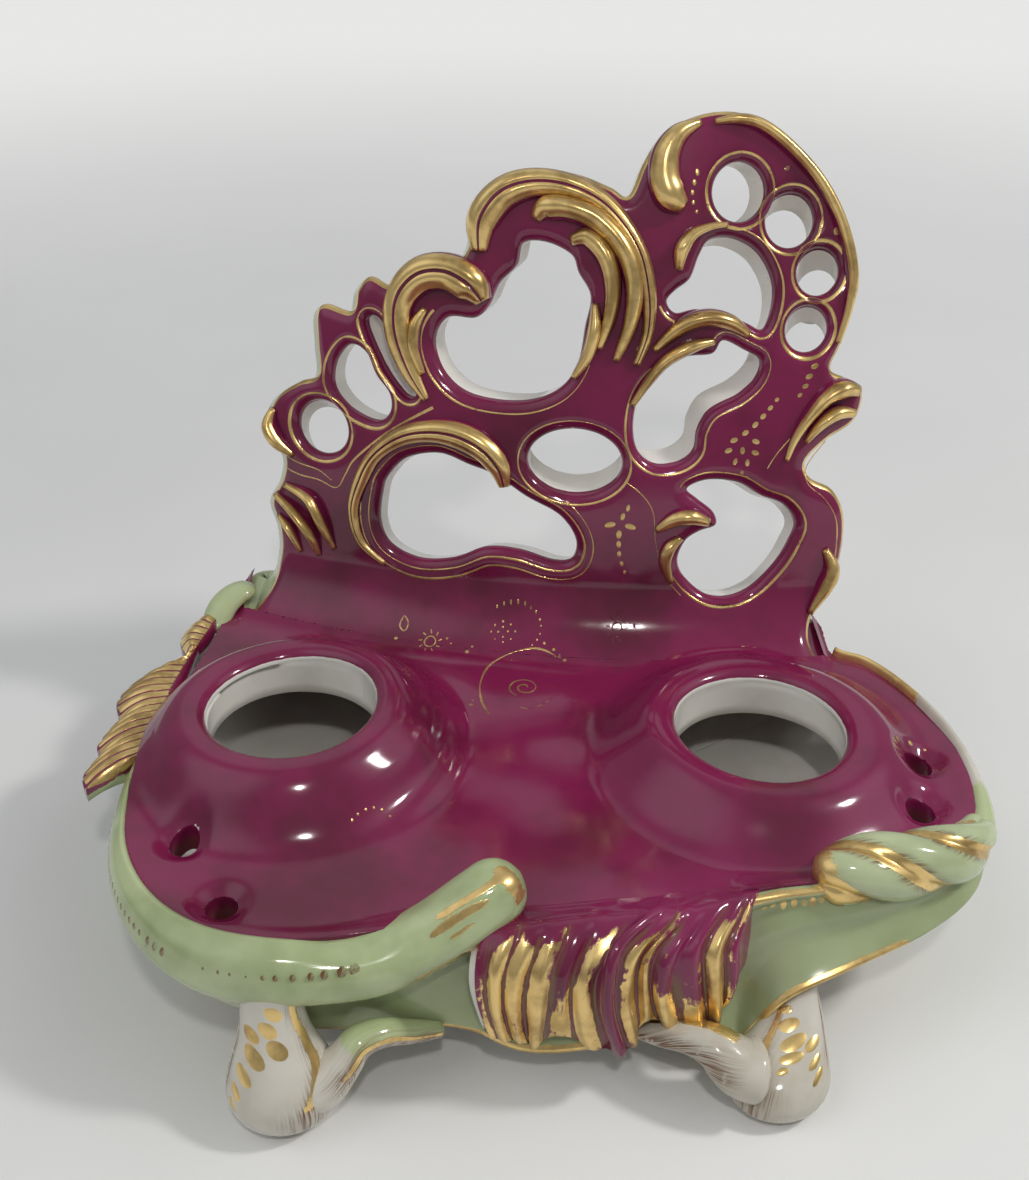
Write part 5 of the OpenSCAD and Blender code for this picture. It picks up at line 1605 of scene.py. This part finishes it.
def foot(line, wing, ovals, brush):
    """One foot: its club, its wing if it has one, and gilt ovals on the club."""
    club = club_grid(line)
    traits = club_brush(club, *brush[:3]) if wing else {}
    parts = [patch(club, around=True, start_cap=True, end_cap=True, hint="ring", **traits)]
    if wing:
        parts.append(wing_arm(wing, *brush[3:]))
    skin = Skin(club)
    for place, long, wide, turn, gold in ovals:
        parts.append(skin.oval(place, long, wide, turn, 0.2, gilt=gold))
    return parts


for name, (node, line, wing, ovals) in FEET.items():
    brush = RIGHT_BRUSH if "right" in name else LEFT_BRUSH
    piece(name, foot(line, wing, ovals, brush), "white_glaze", [node])

# ---------------------------------------------------------------- table and surroundings

BACKDROP = (0.80, 0.80, 0.79)
SKY = (0.94, 0.96, 1.0)
SKY_BLOBS = (                      # direction, the cosines where it starts and is full, strength
    ((0, 0, 1), -0.3, 1.0, 0.14), ((-0.7, -0.2, 0.8), 0.80, 1.0, 0.7), ((0.75, 0.1, 0.7), 0.84, 1.0, 0.6),
    ((0.0, 0.8, 0.7), 0.86, 1.0, 0.3))


def pale_table():
    """The floor's material: a faint grain near the stand. Far from it the camera and mirror rays see the
    floor in the colour of the backdrop."""
    f = Finish("table_pale")
    grain = f.step(f.noise(6.0, 3.0, 0.5), 0.3, 0.7)
    f.join(f.blend(grain, BACKDROP, (0.84, 0.84, 0.83)), f.shader.inputs["Base Color"])
    f.shader.inputs["Roughness"].default_value = 0.6
    away = f.add("ShaderNodeVectorMath", operation="LENGTH")
    f.join(f.place, away.inputs[0])
    ray = f.add("ShaderNodeLightPath").outputs
    mirrored = f.math("ADD", ray["Is Glossy Ray"], ray["Is Transmission Ray"])
    looks = f.math("ADD", ray["Is Camera Ray"], mirrored, True)
    plain = f.add("ShaderNodeEmission")
    f.join(BACKDROP + (1.0,), plain.inputs["Color"])
    fade = f.add("ShaderNodeMixShader")
    f.join(f.math("MULTIPLY", f.step(away.outputs["Value"], 0.25, 1.3), looks), fade.inputs[0])
    f.join(f.shader.outputs[0], fade.inputs[1])
    f.join(plain.outputs[0], fade.inputs[2])
    f.join(fade.outputs[0], f.out.inputs["Surface"])
    return f.material


def table_top():
    """A large plain floor under the stand."""
    mesh = bpy.data.meshes.new("table_top")
    mesh.from_pydata([(-6, -6, 0), (6, -6, 0), (6, 6, 0), (-6, 6, 0)], [], [(0, 1, 2, 3)])
    floor = bpy.data.objects.new("table_top", mesh)
    bpy.context.scene.collection.objects.link(floor)
    mesh.materials.append(pale_table())


def studio():
    """The surroundings: soft patches of bright sky light the stand. The camera sees the plain backdrop
    instead, and mirror rays see a small share of it."""
    world = bpy.data.worlds.new("studio")
    bpy.context.scene.world = world
    world.use_nodes = True
    f = Nodes(world.node_tree)
    heading = f.add("ShaderNodeTexCoord").outputs["Generated"]
    level = 0.10
    for way, low, high, strength in SKY_BLOBS:
        dot = f.add("ShaderNodeVectorMath", operation="DOT_PRODUCT")
        f.join(heading, dot.inputs[0])
        f.join(tuple(unit(np.array(way, float))), dot.inputs[1])
        level = f.math("ADD", f.step(dot.outputs["Value"], low, high, strength, "SMOOTHERSTEP"), level)
    sky = f.add("ShaderNodeBackground")
    f.join(SKY + (1.0,), sky.inputs["Color"])
    f.join(level, sky.inputs["Strength"])
    pale = f.add("ShaderNodeBackground")
    f.join(BACKDROP + (1.0,), pale.inputs["Color"])
    ray = f.add("ShaderNodeLightPath").outputs
    mirrored = f.math("MULTIPLY", ray["Is Glossy Ray"], 0.18)
    seen = f.math("ADD", f.math("ADD", mirrored, ray["Is Camera Ray"]), ray["Is Transmission Ray"], True)
    chosen = f.add("ShaderNodeMixShader")
    f.join(seen, chosen.inputs[0])
    f.join(sky.outputs[0], chosen.inputs[1])
    f.join(pale.outputs[0], chosen.inputs[2])
    f.join(chosen.outputs[0], f.add("ShaderNodeOutputWorld").inputs["Surface"])


table_top()
studio()
bpy.context.scene.view_settings.view_transform = "Standard"
